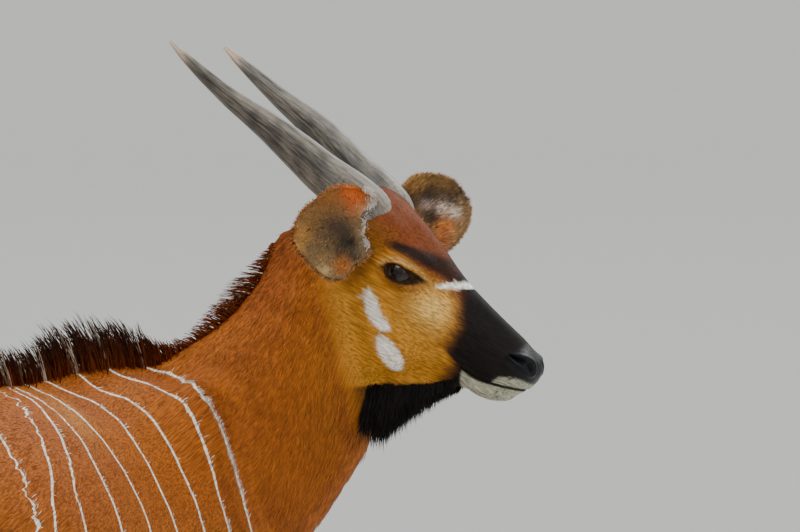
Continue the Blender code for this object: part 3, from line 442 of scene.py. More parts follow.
# stripes of the right side from the withers to the rump: place along the body and height, where the
# height is raised by up to 55 mm over the back, so that it keeps falling down the flat of the shoulder
STRIPE_RAISE = 0.11
STRIPES = (
    ((0.004, 1.208), (0.018, 1.198), (0.037, 1.192), (0.041, 1.182), (0.040, 1.172), (0.028, 1.157),
     (0.013, 1.141), (0.013, 1.119), (0.019, 1.101), (0.026, 1.083), (0.040, 1.030), (0.058, 0.990),
     (0.070, 0.940), (0.078, 0.860)),
    ((-0.100, 1.218), (-0.086, 1.214), (-0.080, 1.199), (-0.068, 1.189), (-0.056, 1.181), (-0.038, 1.175),
     (-0.022, 1.166), (-0.018, 1.151), (-0.021, 1.115), (-0.020, 1.085), (-0.017, 1.060), (-0.006, 1.010),
     (0.000, 0.900), (0.004, 0.820)),
    ((-0.165, 1.215), (-0.155, 1.198), (-0.145, 1.167), (-0.128, 1.155), (-0.110, 1.146), (-0.098, 1.133),
     (-0.087, 1.117), (-0.082, 1.099), (-0.079, 1.050), (-0.078, 1.000), (-0.080, 0.880), (-0.090, 0.740)),
    ((-0.240, 1.205), (-0.216, 1.174), (-0.204, 1.158), (-0.187, 1.146), (-0.174, 1.126), (-0.160, 1.105),
     (-0.160, 1.050), (-0.164, 0.980), (-0.166, 0.860), (-0.176, 0.720)),
    ((-0.280, 1.190), (-0.256, 1.110), (-0.248, 1.060), (-0.250, 0.985), (-0.256, 0.860), (-0.268, 0.700)),
    ((-0.318, 1.126), (-0.325, 1.075), (-0.342, 1.035), (-0.346, 0.985), (-0.350, 0.860), (-0.362, 0.690)),
    ((-0.324, 1.190), (-0.342, 1.139), (-0.372, 1.087), (-0.405, 1.050), (-0.440, 1.000), (-0.452, 0.860),
     (-0.465, 0.690)),
    ((-0.366, 1.200), (-0.372, 1.146), (-0.406, 1.108), (-0.450, 1.060), (-0.500, 1.000), (-0.522, 0.940),
     (-0.545, 0.720)),
    ((-0.470, 1.210), (-0.500, 1.150), (-0.530, 1.095), (-0.535, 1.040), (-0.547, 0.960), (-0.590, 0.840),
     (-0.625, 0.720)),
    ((-0.570, 1.210), (-0.610, 1.126), (-0.650, 1.050), (-0.648, 0.990), (-0.632, 0.940), (-0.660, 0.850),
     (-0.700, 0.760)),
    ((-0.660, 1.220), (-0.700, 1.126), (-0.735, 1.040), (-0.742, 0.950), (-0.760, 0.860), (-0.790, 0.760)),
    ((-0.750, 1.220), (-0.790, 1.134), (-0.825, 1.050), (-0.845, 0.960), (-0.870, 0.860), (-0.880, 0.760)),
    ((-0.840, 1.220), (-0.880, 1.134), (-0.915, 1.050), (-0.945, 0.960), (-0.968, 0.880), (-0.972, 0.800)),
    ((-0.920, 1.200), (-0.965, 1.118), (-1.000, 1.040), (-1.030, 0.960), (-1.044, 0.890)),
)
LEFT_STRIPES_FORWARD = 0.014
STRIPE_STEP = 0.006
STRIPE_ROOM = 0.08
# white spots of the cheek, grey-white of the upper and the lower lip, in the head's frame
CHEEK_SPOTS = (
    ((-0.019, -0.047), (-0.018, -0.062), (-0.007, -0.072), (0.005, -0.079), (0.020, -0.082), (0.035, -0.082),
     (0.045, -0.075), (0.040, -0.067), (0.027, -0.066), (0.011, -0.059), (-0.003, -0.049)),
    ((0.036, -0.090), (0.041, -0.102), (0.056, -0.112), (0.072, -0.118), (0.084, -0.119), (0.090, -0.110),
     (0.087, -0.095), (0.072, -0.086), (0.056, -0.084), (0.044, -0.085)),
)
UPPER_LIP = (
    (0.203, -0.036), (0.208, -0.015), (0.222, -0.002), (0.238, 0.006), (0.262, 0.004), (0.262, -0.014),
    (0.236, -0.016),
)
LOWER_LIP = (
    (0.158, -0.047), (0.190, -0.0385), (0.220, -0.022), (0.262, -0.004), (0.262, -0.060), (0.200, -0.090),
    (0.166, -0.070),
)
# edge of the black muzzle: heights, and how far towards the nose it starts there
MUZZLE_EDGE = (
    (-0.045, -0.040, -0.023, 0.0, 0.020, 0.038, 0.048),
    (0.150, 0.126, 0.124, 0.120, 0.102, 0.080, 0.058),
)
JAW_LINE = (
    (0.040, -0.190), (0.062, -0.1685), (0.079, -0.147), (0.117, -0.113), (0.157, -0.070), (0.170, -0.055),
)
BROW_STREAK = ((-0.040, 0.022), (-0.010, 0.033), (0.021, 0.041), (0.060, 0.046))
NOSE_BAR = ((0.050, 0.018), (0.064, 0.032), (0.082, 0.048))
NOSE_BAR_HALF = ((0.0, 0.35, 0.7, 1.0), (0.0008, 0.0042, 0.0048, 0.0042))
TEAR_LINE = ((0.022, 0.013), (0.038, 0.0155))
# crease of the neck behind the jaw, forward of the withers and over them, darkened there by painted shade
NECK_CREASE = ((0.255, 0.105), (0.275, 0.032), (0.290, -0.041), (0.305, -0.113))
WHORL = (-0.28, -0.10, 1.10)
STRIPE_EDGES = (0.0030, 0.0018)
# crescent of the chest: height of its middle, how it rises to the sides, half its width and depth
CRESCENT_HEIGHT, CRESCENT_RISE, CRESCENT_HALF_WIDTH, CRESCENT_HALF_DEPTH = 0.890, 3.2, 0.115, 0.027
HOOF_TOP = 0.094


def head_part(s, t):
    """1 on the head, 0 on the neck and the body."""
    return smoothstep(-0.02, 0.02, past_throat(s, t)) * smoothstep(-0.30, -0.26, s)


def stripe_bands(places, normals):
    """Number of the stripe, metres to a whole number, presence of stripes, and distance to the nearest."""
    x, y, z = (places - BELOW_WITHERS).T
    x = x + np.where(y > 0, LEFT_STRIPES_FORWARD, 0.0) + 0.0012 * ripple(places, 0.05, 6)
    z = z + (STRIPE_RAISE - np.minimum(np.abs(y), STRIPE_RAISE)) / 2
    lines, slopes, shown_at = [], [], []
    for stripe in STRIPES:
        line = np.array(stripe)[::-1]
        lines.append(np.interp(z, line[:, 1], line[:, 0]))
        low = np.interp(z - STRIPE_STEP, line[:, 1], line[:, 0])
        high = np.interp(z + STRIPE_STEP, line[:, 1], line[:, 0])
        slopes.append((high - low) / (2 * STRIPE_STEP))
        shown_at.append(smoothstep(line[0, 1] - 0.01, line[0, 1] + 0.03, z) * (z < line[-1, 1] + 0.08))
    lines, slopes, shown_at = np.array(lines), np.array(slopes), np.array(shown_at)
    spacing = np.full(len(x), STRIPE_ROOM)
    slope = slopes[0].copy()
    number = np.maximum((lines[0] - x) / STRIPE_ROOM, -0.45)
    for index in range(len(lines) - 1):
        between = (x <= lines[index]) & (x > lines[index + 1])
        room = np.maximum(lines[index] - lines[index + 1], 0.004)
        number = np.where(between, index + (lines[index] - x) / room, number)
        spacing = np.where(between, room, spacing)
        part = np.clip((lines[index] - x) / room, 0, 1)
        slope = np.where(between, slopes[index] * (1 - part) + slopes[index + 1] * part, slope)
    beyond = x <= lines[-1]
    number = np.where(beyond, len(lines) - 1 + np.minimum((lines[-1] - x) / STRIPE_ROOM, 0.45), number)
    slope = np.where(beyond, slopes[-1], slope)
    over_back = np.sign(y) * (np.abs(y) < STRIPE_RAISE)
    gradient = np.stack([np.ones_like(x), slope * over_back / 2, -slope], axis=1)
    level = gradient - normals * np.sum(gradient * normals, axis=1)[:, None]
    spacing = spacing / np.maximum(np.linalg.norm(level, axis=1), 0.30)
    nearest = np.clip(np.round(number), 0, len(lines) - 1).astype(int)
    presence = shown_at[nearest, np.arange(len(x))]
    away = np.abs(number - nearest) * spacing
    return number, spacing, presence, away


def coat_colour(places, normals, striped=True):
    """The linear colour of the coat at each place, with painted shade and a painted sheen among it."""
    deep, gold, tan = tint_of("7a3a12"), tint_of("b9802b"), tint_of("d6ae62")
    black, white, grey = tint_of("14100e"), tint_of("e9e4d6"), tint_of("9a9a86")
    made = np.tile(tint_of("a35a19"), (len(places), 1))

    def lay(tint, amount):
        made[:] += (tint - made) * np.clip(amount, 0.0, 1.0)[:, None]

    # body: orange on the trunk, darker down the nape and the legs, gold on the throat
    body = places - BELOW_WITHERS
    x, y, z = body.T
    s, side, t = in_head(places).T
    on_head = head_part(s, t)
    trunk = 1.0 - smoothstep(0.10, 0.24, x)
    wander = ripple(places, 0.16, 3)
    lay(deep, 0.35 + 0.25 * wander)
    # deeper red-brown down the flank, partly the coat's own tone and partly painted shade
    lay(tint_of("99531d"), trunk * smoothstep(1.16, 0.80, z) * 0.7)
    # painted shade: the crease of the neck is darkened on the side towards the viewer
    crease, _ = along_line(np.stack([body @ ACROSS_VIEW, z - WITHERS_HEIGHT], axis=1), NECK_CREASE)
    crease_shade = np.exp(-(crease / 0.010) ** 2) * smoothstep(0.2, 0.7, normals @ TO_VIEWER)
    # painted sheen: a paler tone where the hair turns round the whorl
    whorl = np.exp(-((np.hypot(x - WHORL[0], z - WHORL[2]) / 0.035) ** 2)) * (y < 0)
    nape_side = smoothstep(-0.03, 0.16, z - 1.06) * (1 - trunk)
    front = (places - HEAD_ORIGIN) @ np.array(head_level)
    lay(gold, (1 - trunk) * smoothstep(-0.19, -0.02, front) * smoothstep(0.95, 1.18, z) * 0.50)
    lay(deep, nape_side * smoothstep(-0.10, -0.22, front) * 0.8)
    lay(deep, crease_shade * 0.55)
    lay(tan, whorl * 0.16)
    # painted shade: darker where the trunk faces down, under the belly
    lay(deep, smoothstep(-0.25, -0.75, normals[:, 2]) * trunk * smoothstep(0.50, 0.60, z) * 0.85)

    # legs: dark in front, white inside the knees and over the hooves
    lay(deep, smoothstep(0.66, 0.45, z) * 0.85)
    front_of_leg = smoothstep(-0.6, 0.2, normals[:, 0] + 0.2 * wander)
    lay(black, smoothstep(0.56, 0.36, z) * (0.35 + 0.60 * front_of_leg))
    inner_side = smoothstep(0.0, 0.5, -normals[:, 1] * np.sign(y))
    lay(white, smoothstep(0.44, 0.46, z) * smoothstep(0.55, 0.52, z) * inner_side * (x > -0.4) * 0.9)
    pastern = smoothstep(HOOF_TOP, 0.100, z) * smoothstep(0.130, 0.122, z)
    lay(white, pastern * smoothstep(-0.2, 0.4, normals[:, 0]) * 0.95)
    lay(black, smoothstep(HOOF_TOP, 0.088, z) * 0.8)

    # crescent of the chest, and the stripes
    crescent = CRESCENT_HALF_DEPTH * np.sqrt(np.maximum(1 - (y / CRESCENT_HALF_WIDTH) ** 2, 0.0))
    crescent = crescent + 0.003 * ripple(places, 0.03, 14)
    from_crescent = np.abs(z - CRESCENT_HEIGHT - CRESCENT_RISE * y ** 2)
    chest = (x > 0.12) * (normals[:, 0] > 0.1) * (1 - on_head)
    lay(white, smoothstep(crescent, crescent - 0.010, from_crescent) * chest * 0.9)
    if striped:
        _, _, presence, away = stripe_bands(places, normals)
        edge = away + 0.0004 * ripple(places, 0.012, 5)
        lay(white, smoothstep(*STRIPE_EDGES, edge) * presence * (1 - on_head) * 0.95)

    # head: gold cheeks, red-brown forehead, pale patch below the eye
    head = np.tile(tint_of("a2691f"), (len(places), 1))

    def on(tint, amount):
        head[:] += (tint - head) * np.clip(amount, 0.0, 1.0)[:, None]

    face = np.stack([s, t], axis=1)
    soft = ripple(places, 0.03, 8)
    on(gold, smoothstep(0.03, -0.06, t) * 0.75)
    on(tint_of("8f5c20"), smoothstep(0.3, 0.9, ripple(places, 0.045, 12)) * 0.35)
    on(tint_of("6c3217"), smoothstep(0.014, 0.036, t - 0.25 * np.minimum(s + 0.01, 0.0)) * 0.92)
    on(tan, np.exp(-((s - 0.070) / 0.030) ** 2 - ((t + 0.008) / 0.026) ** 2) * 0.9)
    behind_eye = smoothstep(-0.028, -0.046, s) * smoothstep(0.05, 0.02, t) * smoothstep(-0.10, -0.05, t)
    on(tint_of("84501a"), behind_eye * 0.8)

    # black brow streak and muzzle, white bar over the nose and spots of the cheek
    streak, part = along_line(face, BROW_STREAK)
    wide = smoothstep(0.0090 + 0.006 * part, 0.0025 + 0.004 * part, streak)
    on(black, wide * 0.92 * smoothstep(0.0, 0.2, part + 0.1))
    past_edge = s - np.interp(t, *MUZZLE_EDGE) + 0.004 * soft
    on(tint_of("4a2210"), smoothstep(-0.026, 0.0, past_edge) * 0.8)
    on(black, smoothstep(-0.012, 0.010, past_edge))
    ridge = smoothstep(0.026, 0.046, t) * smoothstep(0.010, 0.060, s) * smoothstep(0.105, 0.085, s)
    on(tint_of("3a1c10"), ridge * 0.75)
    on(black, smoothstep(0.034, 0.046, t) * smoothstep(0.042, 0.080, s + 0.004 * soft))
    jaw = np.interp(s, *columns(JAW_LINE))
    on(black, smoothstep(0.003, -0.005, t - jaw + 0.003 * soft) * smoothstep(0.035, 0.055, s))
    bar, part = along_line(face, NOSE_BAR)
    bar_half = np.interp(part, *NOSE_BAR_HALF)
    on(white, smoothstep(bar_half + 0.0012, bar_half - 0.0012, bar + 0.0008 * soft))
    for outline in CHEEK_SPOTS:
        on(white, inside(s, t, outline, 0.0016))

    # lips, with the black line of the mouth, the rust tint of the chin and the dark roots of the whiskers
    mouth = np.interp(s, *columns(MOUTH))
    on(grey, inside(s, t, UPPER_LIP, 0.0022) * (t > mouth - 0.001))
    on(grey, inside(s, t, LOWER_LIP, 0.0022) * (t < mouth + 0.001))
    gap, _ = along_line(face, MOUTH)
    on(black, smoothstep(0.0030, 0.0012, gap) * 0.95)
    on(tint_of("b07a3a"), np.exp(-((s - 0.205) / 0.02) ** 2 - ((t + 0.068) / 0.006) ** 2) * 0.6)
    dots = np.sin(s * 900) * np.sin(t * 1300 + s * 500) * np.sin(side * 900 + 1)
    on(black, smoothstep(0.55, 0.8, dots) * (s > 0.185) * (t < 0.012) * 0.8)

    # black rim of the eye with a cream lid above it
    u, w = eye_plane(s, t)
    almond = almond_value(u, w)
    near_eye = smoothstep(0.036, 0.044, np.abs(side)) * smoothstep(0.05, 0.035, np.hypot(s, t))
    lid = smoothstep(0.0045, 0.0065, almond) * smoothstep(0.014, 0.0095, almond) * (w > 0.002)
    on(tint_of("b48a4c"), near_eye * lid * 0.85)
    on(tint_of("6e3a16"), near_eye * smoothstep(0.016, 0.012, almond) * smoothstep(0.0, -0.004, w) * 0.5)
    on(black, near_eye * smoothstep(0.0046, 0.0026, almond) * 0.93)
    tear, _ = along_line(face, TEAR_LINE)
    on(black, near_eye * smoothstep(0.0035, 0.0015, tear) * 0.85)
    made[:] += (head - made) * on_head[:, None]
    return made


def nose_bare(s, t):
    """1 on the wet hairless end of the nose."""
    return smoothstep(0.2005, 0.2100, s + 0.20 * (t - 0.02)) * smoothstep(0.002, 0.010, t)


# the skin carries its colours without stripes, the count of the stripe lines, its regions and its bare
# nose point by point, and the material draws the fine stripes and hairs from them
s, side, t = in_head(skin_places).T
on_head = head_part(s, t)
number, spacing, presence, _ = stripe_bands(skin_places, skin_normals)
on_trunk = 1.0 - smoothstep(0.02, 0.20, (skin_places - BELOW_WITHERS)[:, 0])
paint(skin_mesh, "coat", coat_colour(skin_places, skin_normals, striped=False))
paint(skin_mesh, "stripes", np.stack([number, spacing * 10, presence * (1 - on_head)], axis=1))
paint(skin_mesh, "regions", np.stack([on_head, (1 - on_head) * on_trunk, 0 * s], axis=1))
paint(skin_mesh, "bare", np.repeat(np.clip(nose_bare(s, t), 0, 1)[:, None], 3, axis=1))


def look(name, roughness, **inputs):
    """A material with its node tree and its surface shader."""
    made = bpy.data.materials.new(name)
    made.use_nodes = True
    shader = made.node_tree.nodes["Principled BSDF"]
    shader.inputs["Roughness"].default_value = roughness
    for key, value in inputs.items():
        shader.inputs[key.replace("_", " ")].default_value = value
    return made, made.node_tree, shader


def node(tree, kind, settings=None, links=None, **values):
    """Adds a node, sets its options and sockets, and links sockets to it."""
    made = tree.nodes.new("ShaderNode" + kind)
    for key, value in (settings or {}).items():
        setattr(made, key, value)
    for key, value in values.items():
        socket = int(key[1:]) if key[0] == "i" and key[1:].isdigit() else key.replace("_", " ")
        made.inputs[socket].default_value = value
    for key, source in (links or {}).items():
        tree.links.new(source, made.inputs[key])
    return made


# Short animal hair over skin, matt, with single hairs 2 mm across and drawn out along their lie. They
# are drawn coarser than real ones, so that they show, and the bare nose is wet and pebbled.
HAIR_SCALE = 430.0
HAIR_DRAWN_OUT = 0.07
NECK_LIE = (-0.35, 0.22, -1.0)
TRUNK_LIE = (-1.0, 0.0, -0.45)
FACE_LIE = tuple(-HEAD_AXES[0] * 0.9 - HEAD_AXES[2] * 0.25)
PEBBLE_SCALE = 650.0
coat_look, tree, shader = look("animal hair over skin", 0.72, Specular_IOR_Level=0.12)
tint = node(tree, "Attribute", {"attribute_name": "coat"})
bare_share = node(tree, "Attribute", {"attribute_name": "bare"})
coords = node(tree, "TexCoord")
region_share = node(tree, "Attribute", {"attribute_name": "regions"})
regions = node(tree, "SeparateColor", links={0: region_share.outputs["Color"]})
drawn = None
for way, share in ((NECK_LIE, None), (TRUNK_LIE, "Green"), (FACE_LIE, "Red")):
    turn = Vector(way).to_track_quat("Z", "Y").inverted().to_euler()
    turned = node(
        tree, "VectorRotate", {"rotation_type": "EULER_XYZ"}, {"Vector": coords.outputs["Object"]},
        Rotation=turn,
    )
    long = node(tree, "Mapping", links={"Vector": turned.outputs["Vector"]}, Scale=(1.0, 1.0, HAIR_DRAWN_OUT))
    strands = node(tree, "TexNoise", links={"Vector": long.outputs["Vector"]}, Scale=HAIR_SCALE, Detail=2.0)
    if drawn is None:
        drawn = strands.outputs["Fac"]
    else:
        mixed = node(tree, "Mix", links={0: regions.outputs[share], 2: drawn, 3: strands.outputs["Fac"]})
        drawn = mixed.outputs[0]
streaks = node(tree, "MapRange", links={"Value": drawn}, i1=0.34, i2=0.66, i3=0.55, i4=1.35)

# the stripes are a count of lines that is whole on each stripe, and their edge is frayed by the hair
band_count = node(tree, "Attribute", {"attribute_name": "stripes"})
bands = node(tree, "SeparateColor", links={0: band_count.outputs["Color"]})
nearest = node(tree, "Math", {"operation": "ROUND"}, {0: bands.outputs["Red"]})
off = node(tree, "Math", {"operation": "SUBTRACT"}, {0: bands.outputs["Red"], 1: nearest.outputs["Value"]})
off = node(tree, "Math", {"operation": "ABSOLUTE"}, {0: off.outputs["Value"]})
off = node(tree, "Math", {"operation": "MULTIPLY"}, {0: off.outputs["Value"], 1: bands.outputs["Green"]})
frayed = node(tree, "TexNoise", links={"Vector": coords.outputs["Object"]}, Scale=160.0, Detail=2.0)
off = node(
    tree, "Math", {"operation": "MULTIPLY_ADD"}, {0: frayed.outputs["Fac"], 2: off.outputs["Value"]}, i1=0.012,
)
line = node(tree, "MapRange", links={"Value": off.outputs["Value"]}, i1=0.024, i2=0.038, i3=1.0, i4=0.0)
line = node(tree, "Math", {"operation": "MULTIPLY"}, {0: line.outputs["Result"], 1: bands.outputs["Blue"]})
striped = node(
    tree, "MixRGB", links={"Fac": line.outputs["Value"], 1: tint.outputs["Color"]}, i2=colour("e4decd"),
)
shade = node(
    tree, "MixRGB", {"blend_type": "MULTIPLY"}, {1: striped.outputs["Color"], 2: streaks.outputs["Result"]},
    Fac=1.0,
)
wet_black = node(
    tree, "MixRGB", links={"Fac": bare_share.outputs["Fac"], 1: shade.outputs["Color"]}, i2=colour("16171a"),
)
tree.links.new(wet_black.outputs["Color"], shader.inputs["Base Color"])
rough = node(tree, "MapRange", links={"Value": bare_share.outputs["Fac"]}, i3=0.70, i4=0.34)
tree.links.new(rough.outputs["Result"], shader.inputs["Roughness"])
pebble = node(tree, "TexVoronoi", links={"Vector": coords.outputs["Object"]}, Scale=PEBBLE_SCALE)
height = node(tree, "Mix", links={0: bare_share.outputs["Fac"], 2: drawn, 3: pebble.outputs["Distance"]})
relief = node(tree, "Bump", links={"Height": height.outputs[0]}, Strength=0.45, Distance=0.0010)
tree.links.new(relief.outputs["Normal"], shader.inputs["Normal"])


def shown(name, mesh, material, replaced=()):
    """Puts a mesh in the scene as a piece that goes with the body."""
    item = placed(name, mesh)
    mesh.materials.clear()
    mesh.materials.append(material)
    mesh.shade_smooth()
    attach(item, "root")
    if replaced:
        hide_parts(*replaced)


shown("skin", skin_mesh, coat_look, FLESH)

# Coat: short hair, set in the hide in tapered tufts that lie back over the face, down the neck, back
# and down the trunk and down the legs. Each tuft is a closed three-sided blade rooted in the skin,
# short and flat on the body, finer on the face, and curled round a whorl on the right shoulder.
LEG_LIE = (-0.15, 0.0, -1.0)
WHORL_REACH = 0.05
BARELY = 1e-12


def lie_at(places, normals):
    """Which way the hair lies at each place of the skin."""
    body = places - BELOW_WITHERS
    x, y, z = body.T
    s, side, t = in_head(places).T
    head_share = smoothstep(-0.03, 0.03, past_throat(s, t))[:, None]
    trunk_share = (1.0 - smoothstep(0.02, 0.20, x))[:, None]
    leg_share = smoothstep(0.74, 0.56, z)[:, None]
    way = np.tile(np.array(NECK_LIE), (len(places), 1))
    way = way * (1 - trunk_share) + np.array(TRUNK_LIE) * trunk_share
    way = way * (1 - leg_share) + np.array(LEG_LIE) * leg_share
    way = way * (1 - head_share) + np.array(FACE_LIE) * head_share
    from_whorl = body - np.array(WHORL)
    turned = np.exp(-(np.linalg.norm(from_whorl, axis=1) / WHORL_REACH) ** 2)[:, None]
    spiral = unit(from_whorl) + 0.6 * np.cross(unit(from_whorl), normals)
    way = way * (1 - turned) + spiral * 1.5 * turned
    way = way - normals * np.sum(way * normals, axis=1)[:, None]
    return unit(way)


# each tuft takes its place on a flat lay-out of a coarser copy of the skin, as a small spot there
UNWRAP_FACES = 9000
LAYOUT_ANGLE, LAYOUT_GAP = 1.15, 0.001
SPOT_WIDTH, SPOT_LENGTH = 0.0012, 0.0024
unwrap = skin_mesh.copy()
item = placed("unwrap", unwrap)
fewer = item.modifiers.new("fewer", "DECIMATE")
fewer.ratio = UNWRAP_FACES / len(unwrap.polygons)
unwrap = applied(item)
item = placed("unwrap", unwrap)
bpy.context.view_layer.objects.active = item
item.select_set(True)
bpy.ops.object.mode_set(mode="EDIT")
bpy.ops.mesh.select_all(action="SELECT")
bpy.ops.mesh.quads_convert_to_tris()
bpy.ops.uv.smart_project(angle_limit=LAYOUT_ANGLE, island_margin=LAYOUT_GAP)
bpy.ops.object.mode_set(mode="OBJECT")
unwrap_places = points_of(unwrap)
corners = np.empty(len(unwrap.loops), dtype=np.int64)
unwrap.loops.foreach_get("vertex_index", corners)
corners = corners.reshape(-1, 3)
flat = np.empty(len(unwrap.loops) * 2)
unwrap.uv_layers.active.data.foreach_get("uv", flat)
unwrap_uv = flat.reshape(-1, 3, 2)
unwrap_tree = BVHTree.FromPolygons(unwrap_places.tolist(), corners.tolist())
bpy.data.objects.remove(item)


def place_on_unwrap(places):
    """Where each root lies on the unwrapped skin."""
    found = np.zeros((len(places), 2))
    for index, place in enumerate(places):
        spot, _, face, _ = unwrap_tree.find_nearest(place)
        a, b, c = unwrap_places[corners[face]]
        ab, ac, ap = b - a, c - a, np.array(spot) - a
        d1, d2, d3, d4, d5 = ab @ ab, ab @ ac, ac @ ac, ap @ ab, ap @ ac
        bottom = d1 * d3 - d2 * d2
        if abs(bottom) < 1e-16:
            found[index] = unwrap_uv[face][0]
            continue
        v = (d3 * d4 - d2 * d5) / bottom
        w = (d1 * d5 - d2 * d4) / bottom
        ua, ub, uc = unwrap_uv[face]
        found[index] = ua * (1 - v - w) + ub * v + uc * w
    return found


def blade(rings):
    """One closed three-sided blade of unit length: its points as along, across, up, and its faces."""
    bm = bmesh.new()
    made = bmesh.ops.create_circle(bm, cap_ends=True, segments=3, radius=1.0)["verts"]
    for vert in made:
        vert.co = Vector((0.0, -vert.co.y, vert.co.x))
    bmesh.ops.recalc_face_normals(bm, faces=bm.faces)
    top = bm.faces[:]
    for share in rings[1:]:
        out = bmesh.ops.extrude_face_region(bm, geom=top)
        fresh = [v for v in out["geom"] if isinstance(v, bmesh.types.BMVert)]
        for vert in fresh:
            vert.co.x = share
        top = [f for f in out["geom"] if isinstance(f, bmesh.types.BMFace)]
    tips = [v for v in bm.verts if v.co.x > rings[-1] - 1e-6]
    bmesh.ops.pointmerge(bm, verts=tips, merge_co=Vector((rings[-1], 0.0, 0.0)))
    bm.verts.index_update()
    bmesh.ops.recalc_face_normals(bm, faces=bm.faces)
    bmesh.ops.triangulate(bm, faces=bm.faces)
    places = np.array([v.co[:] for v in bm.verts])
    faces = np.array([[v.index for v in f.verts] for f in bm.faces])
    bm.free()
    return places, faces


def hair(
    name, roots, outward, lie, length, width, thick, lift, curl, tints, tips,
    rings=(0.0, 0.5, 1.0), sink=0.001, spread=None, soft=0.0,
):
    """A mesh of many blades: each leaves its root at a slope of lift and bends by curl towards the skin.

    Soft shades the blades more like the skin below them, so that the coat reads as one surface.
    """
    shape, faces = blade(rings)
    count, many = len(roots), len(shape)
    across = unit(np.cross(outward, lie))
    part = shape[:, 0][None, :]
    taper = np.where(part < 0.999, 1.0 - 0.55 * part ** 2, 0.0)
    rise = lift[:, None] * part - curl[:, None] * part ** 2
    run = np.sqrt(np.maximum(part ** 2 - rise ** 2, (0.15 * part) ** 2))
    co = roots[:, None, :] + lie[:, None, :] * (run * length[:, None])[:, :, None]
    stand = rise * length[:, None] - sink * (1 - part) + shape[:, 2][None, :] * taper * thick[:, None] / 2
    co = co + outward[:, None, :] * stand[:, :, None]
    side = shape[:, 1][None, :] * taper * width[:, None] / 2
    if spread is not None:
        side = side + spread[:, None] * part ** 2 * length[:, None]
    co = co + across[:, None, :] * side[:, :, None]
    mesh = bpy.data.meshes.new(name)
    total = count * len(faces)
    mesh.vertices.add(count * many)
    mesh.vertices.foreach_set("co", co.ravel())
    mesh.loops.add(total * 3)
    index = (faces[None] + (np.arange(count) * many)[:, None, None]).reshape(-1)
    mesh.loops.foreach_set("vertex_index", index)
    mesh.polygons.add(total)
    mesh.polygons.foreach_set("loop_start", np.arange(0, total * 3, 3))
    mesh.update(calc_edges=True)
    tone = tints[:, None, :] * (1 - part[:, :, None]) + tips[:, None, :] * part[:, :, None]
    paint(mesh, "coat", tone.reshape(-1, 3))
    spots = place_on_unwrap(roots)
    patch = np.stack([shape[:, 1] * SPOT_WIDTH, (shape[:, 0] - 0.5) * SPOT_LENGTH], axis=1)
    uv = (spots[:, None, :] + patch[None]).reshape(-1, 2)[index]
    layer = mesh.uv_layers.new(name="OFBake")
    layer.data.foreach_set("uv", uv.ravel())
    if soft:
        facing = unit(outward[:, None, :] * soft + normals_of(mesh).reshape(count, many, 3)).reshape(-1, 3)
        mesh.shade_smooth()
        mesh.normals_split_custom_set_from_vertices(facing)
    return mesh


# hair without skin: the same hair with a little more shine, in the tint that each tuft is given
hair_look, tree, shader = look("animal hair", 0.58, Specular_IOR_Level=0.16)
tint = node(tree, "Attribute", {"attribute_name": "coat"})
tree.links.new(tint.outputs["Color"], shader.inputs["Base Color"])


def areas_of(corner):
    """Areas of triangles, from their corners."""
    return np.linalg.norm(np.cross(corner[:, 1] - corner[:, 0], corner[:, 2] - corner[:, 0]), axis=1) / 2


def triangles_of(mesh):
    """The three points of each triangle of a mesh."""
    mesh.calc_loop_triangles()
    flat = np.empty(len(mesh.loop_triangles) * 3, dtype=np.int64)
    mesh.loop_triangles.foreach_get("vertices", flat)
    return flat.reshape(-1, 3)


skin_tris = triangles_of(skin_mesh)
tri_corner = skin_places[skin_tris]
tri_middle = tri_corner.mean(axis=1)
tri_area = areas_of(tri_corner)
draw = np.random.default_rng(41)


def roots_on_skin(count, weight):
    """Random roots on the skin, with the way out of the skin there."""
    chance = tri_area * weight
    chosen = draw.choice(len(tri_area), size=count, p=chance / chance.sum())
    a, b = draw.random(count), draw.random(count)
    over = a + b > 1
    a[over], b[over] = 1 - a[over], 1 - b[over]
    share = np.stack([1 - a - b, a, b], axis=1)[:, :, None]
    return (tri_corner[chosen] * share).sum(axis=1), unit((skin_normals[skin_tris[chosen]] * share).sum(axis=1))


# hair grows nowhere on the open eye, the mouth line and the wet nose, and thicker on the shown side
tri_head = in_head(tri_middle)
tri_body = tri_middle - BELOW_WITHERS
tri_u, tri_w = eye_plane(tri_head[:, 0], tri_head[:, 2])
is_head = (past_throat(tri_head[:, 0], tri_head[:, 2]) > -0.01) & (tri_head[:, 0] > -0.28)
is_leg = tri_body[:, 2] < 0.60
is_neck = ~is_head & (tri_body[:, 0] > 0.02) & (tri_body[:, 2] > 0.62)
is_trunk = ~is_head & ~is_neck & ~is_leg
eye_open = (almond_value(tri_u, tri_w) < 0.0022) & (np.abs(tri_head[:, 1]) > 0.035)
eye_open &= np.hypot(tri_head[:, 0], tri_head[:, 2]) < 0.05
mouth_near, _ = along_line(tri_head[:, [0, 2]], MOUTH)
growth = np.where(eye_open | (mouth_near < 0.0016), 0.0, 1.0) * (1 - nose_bare(tri_head[:, 0], tri_head[:, 2]))
thicker = 1.0 + 0.8 * (tri_middle @ TO_VIEWER > 0)
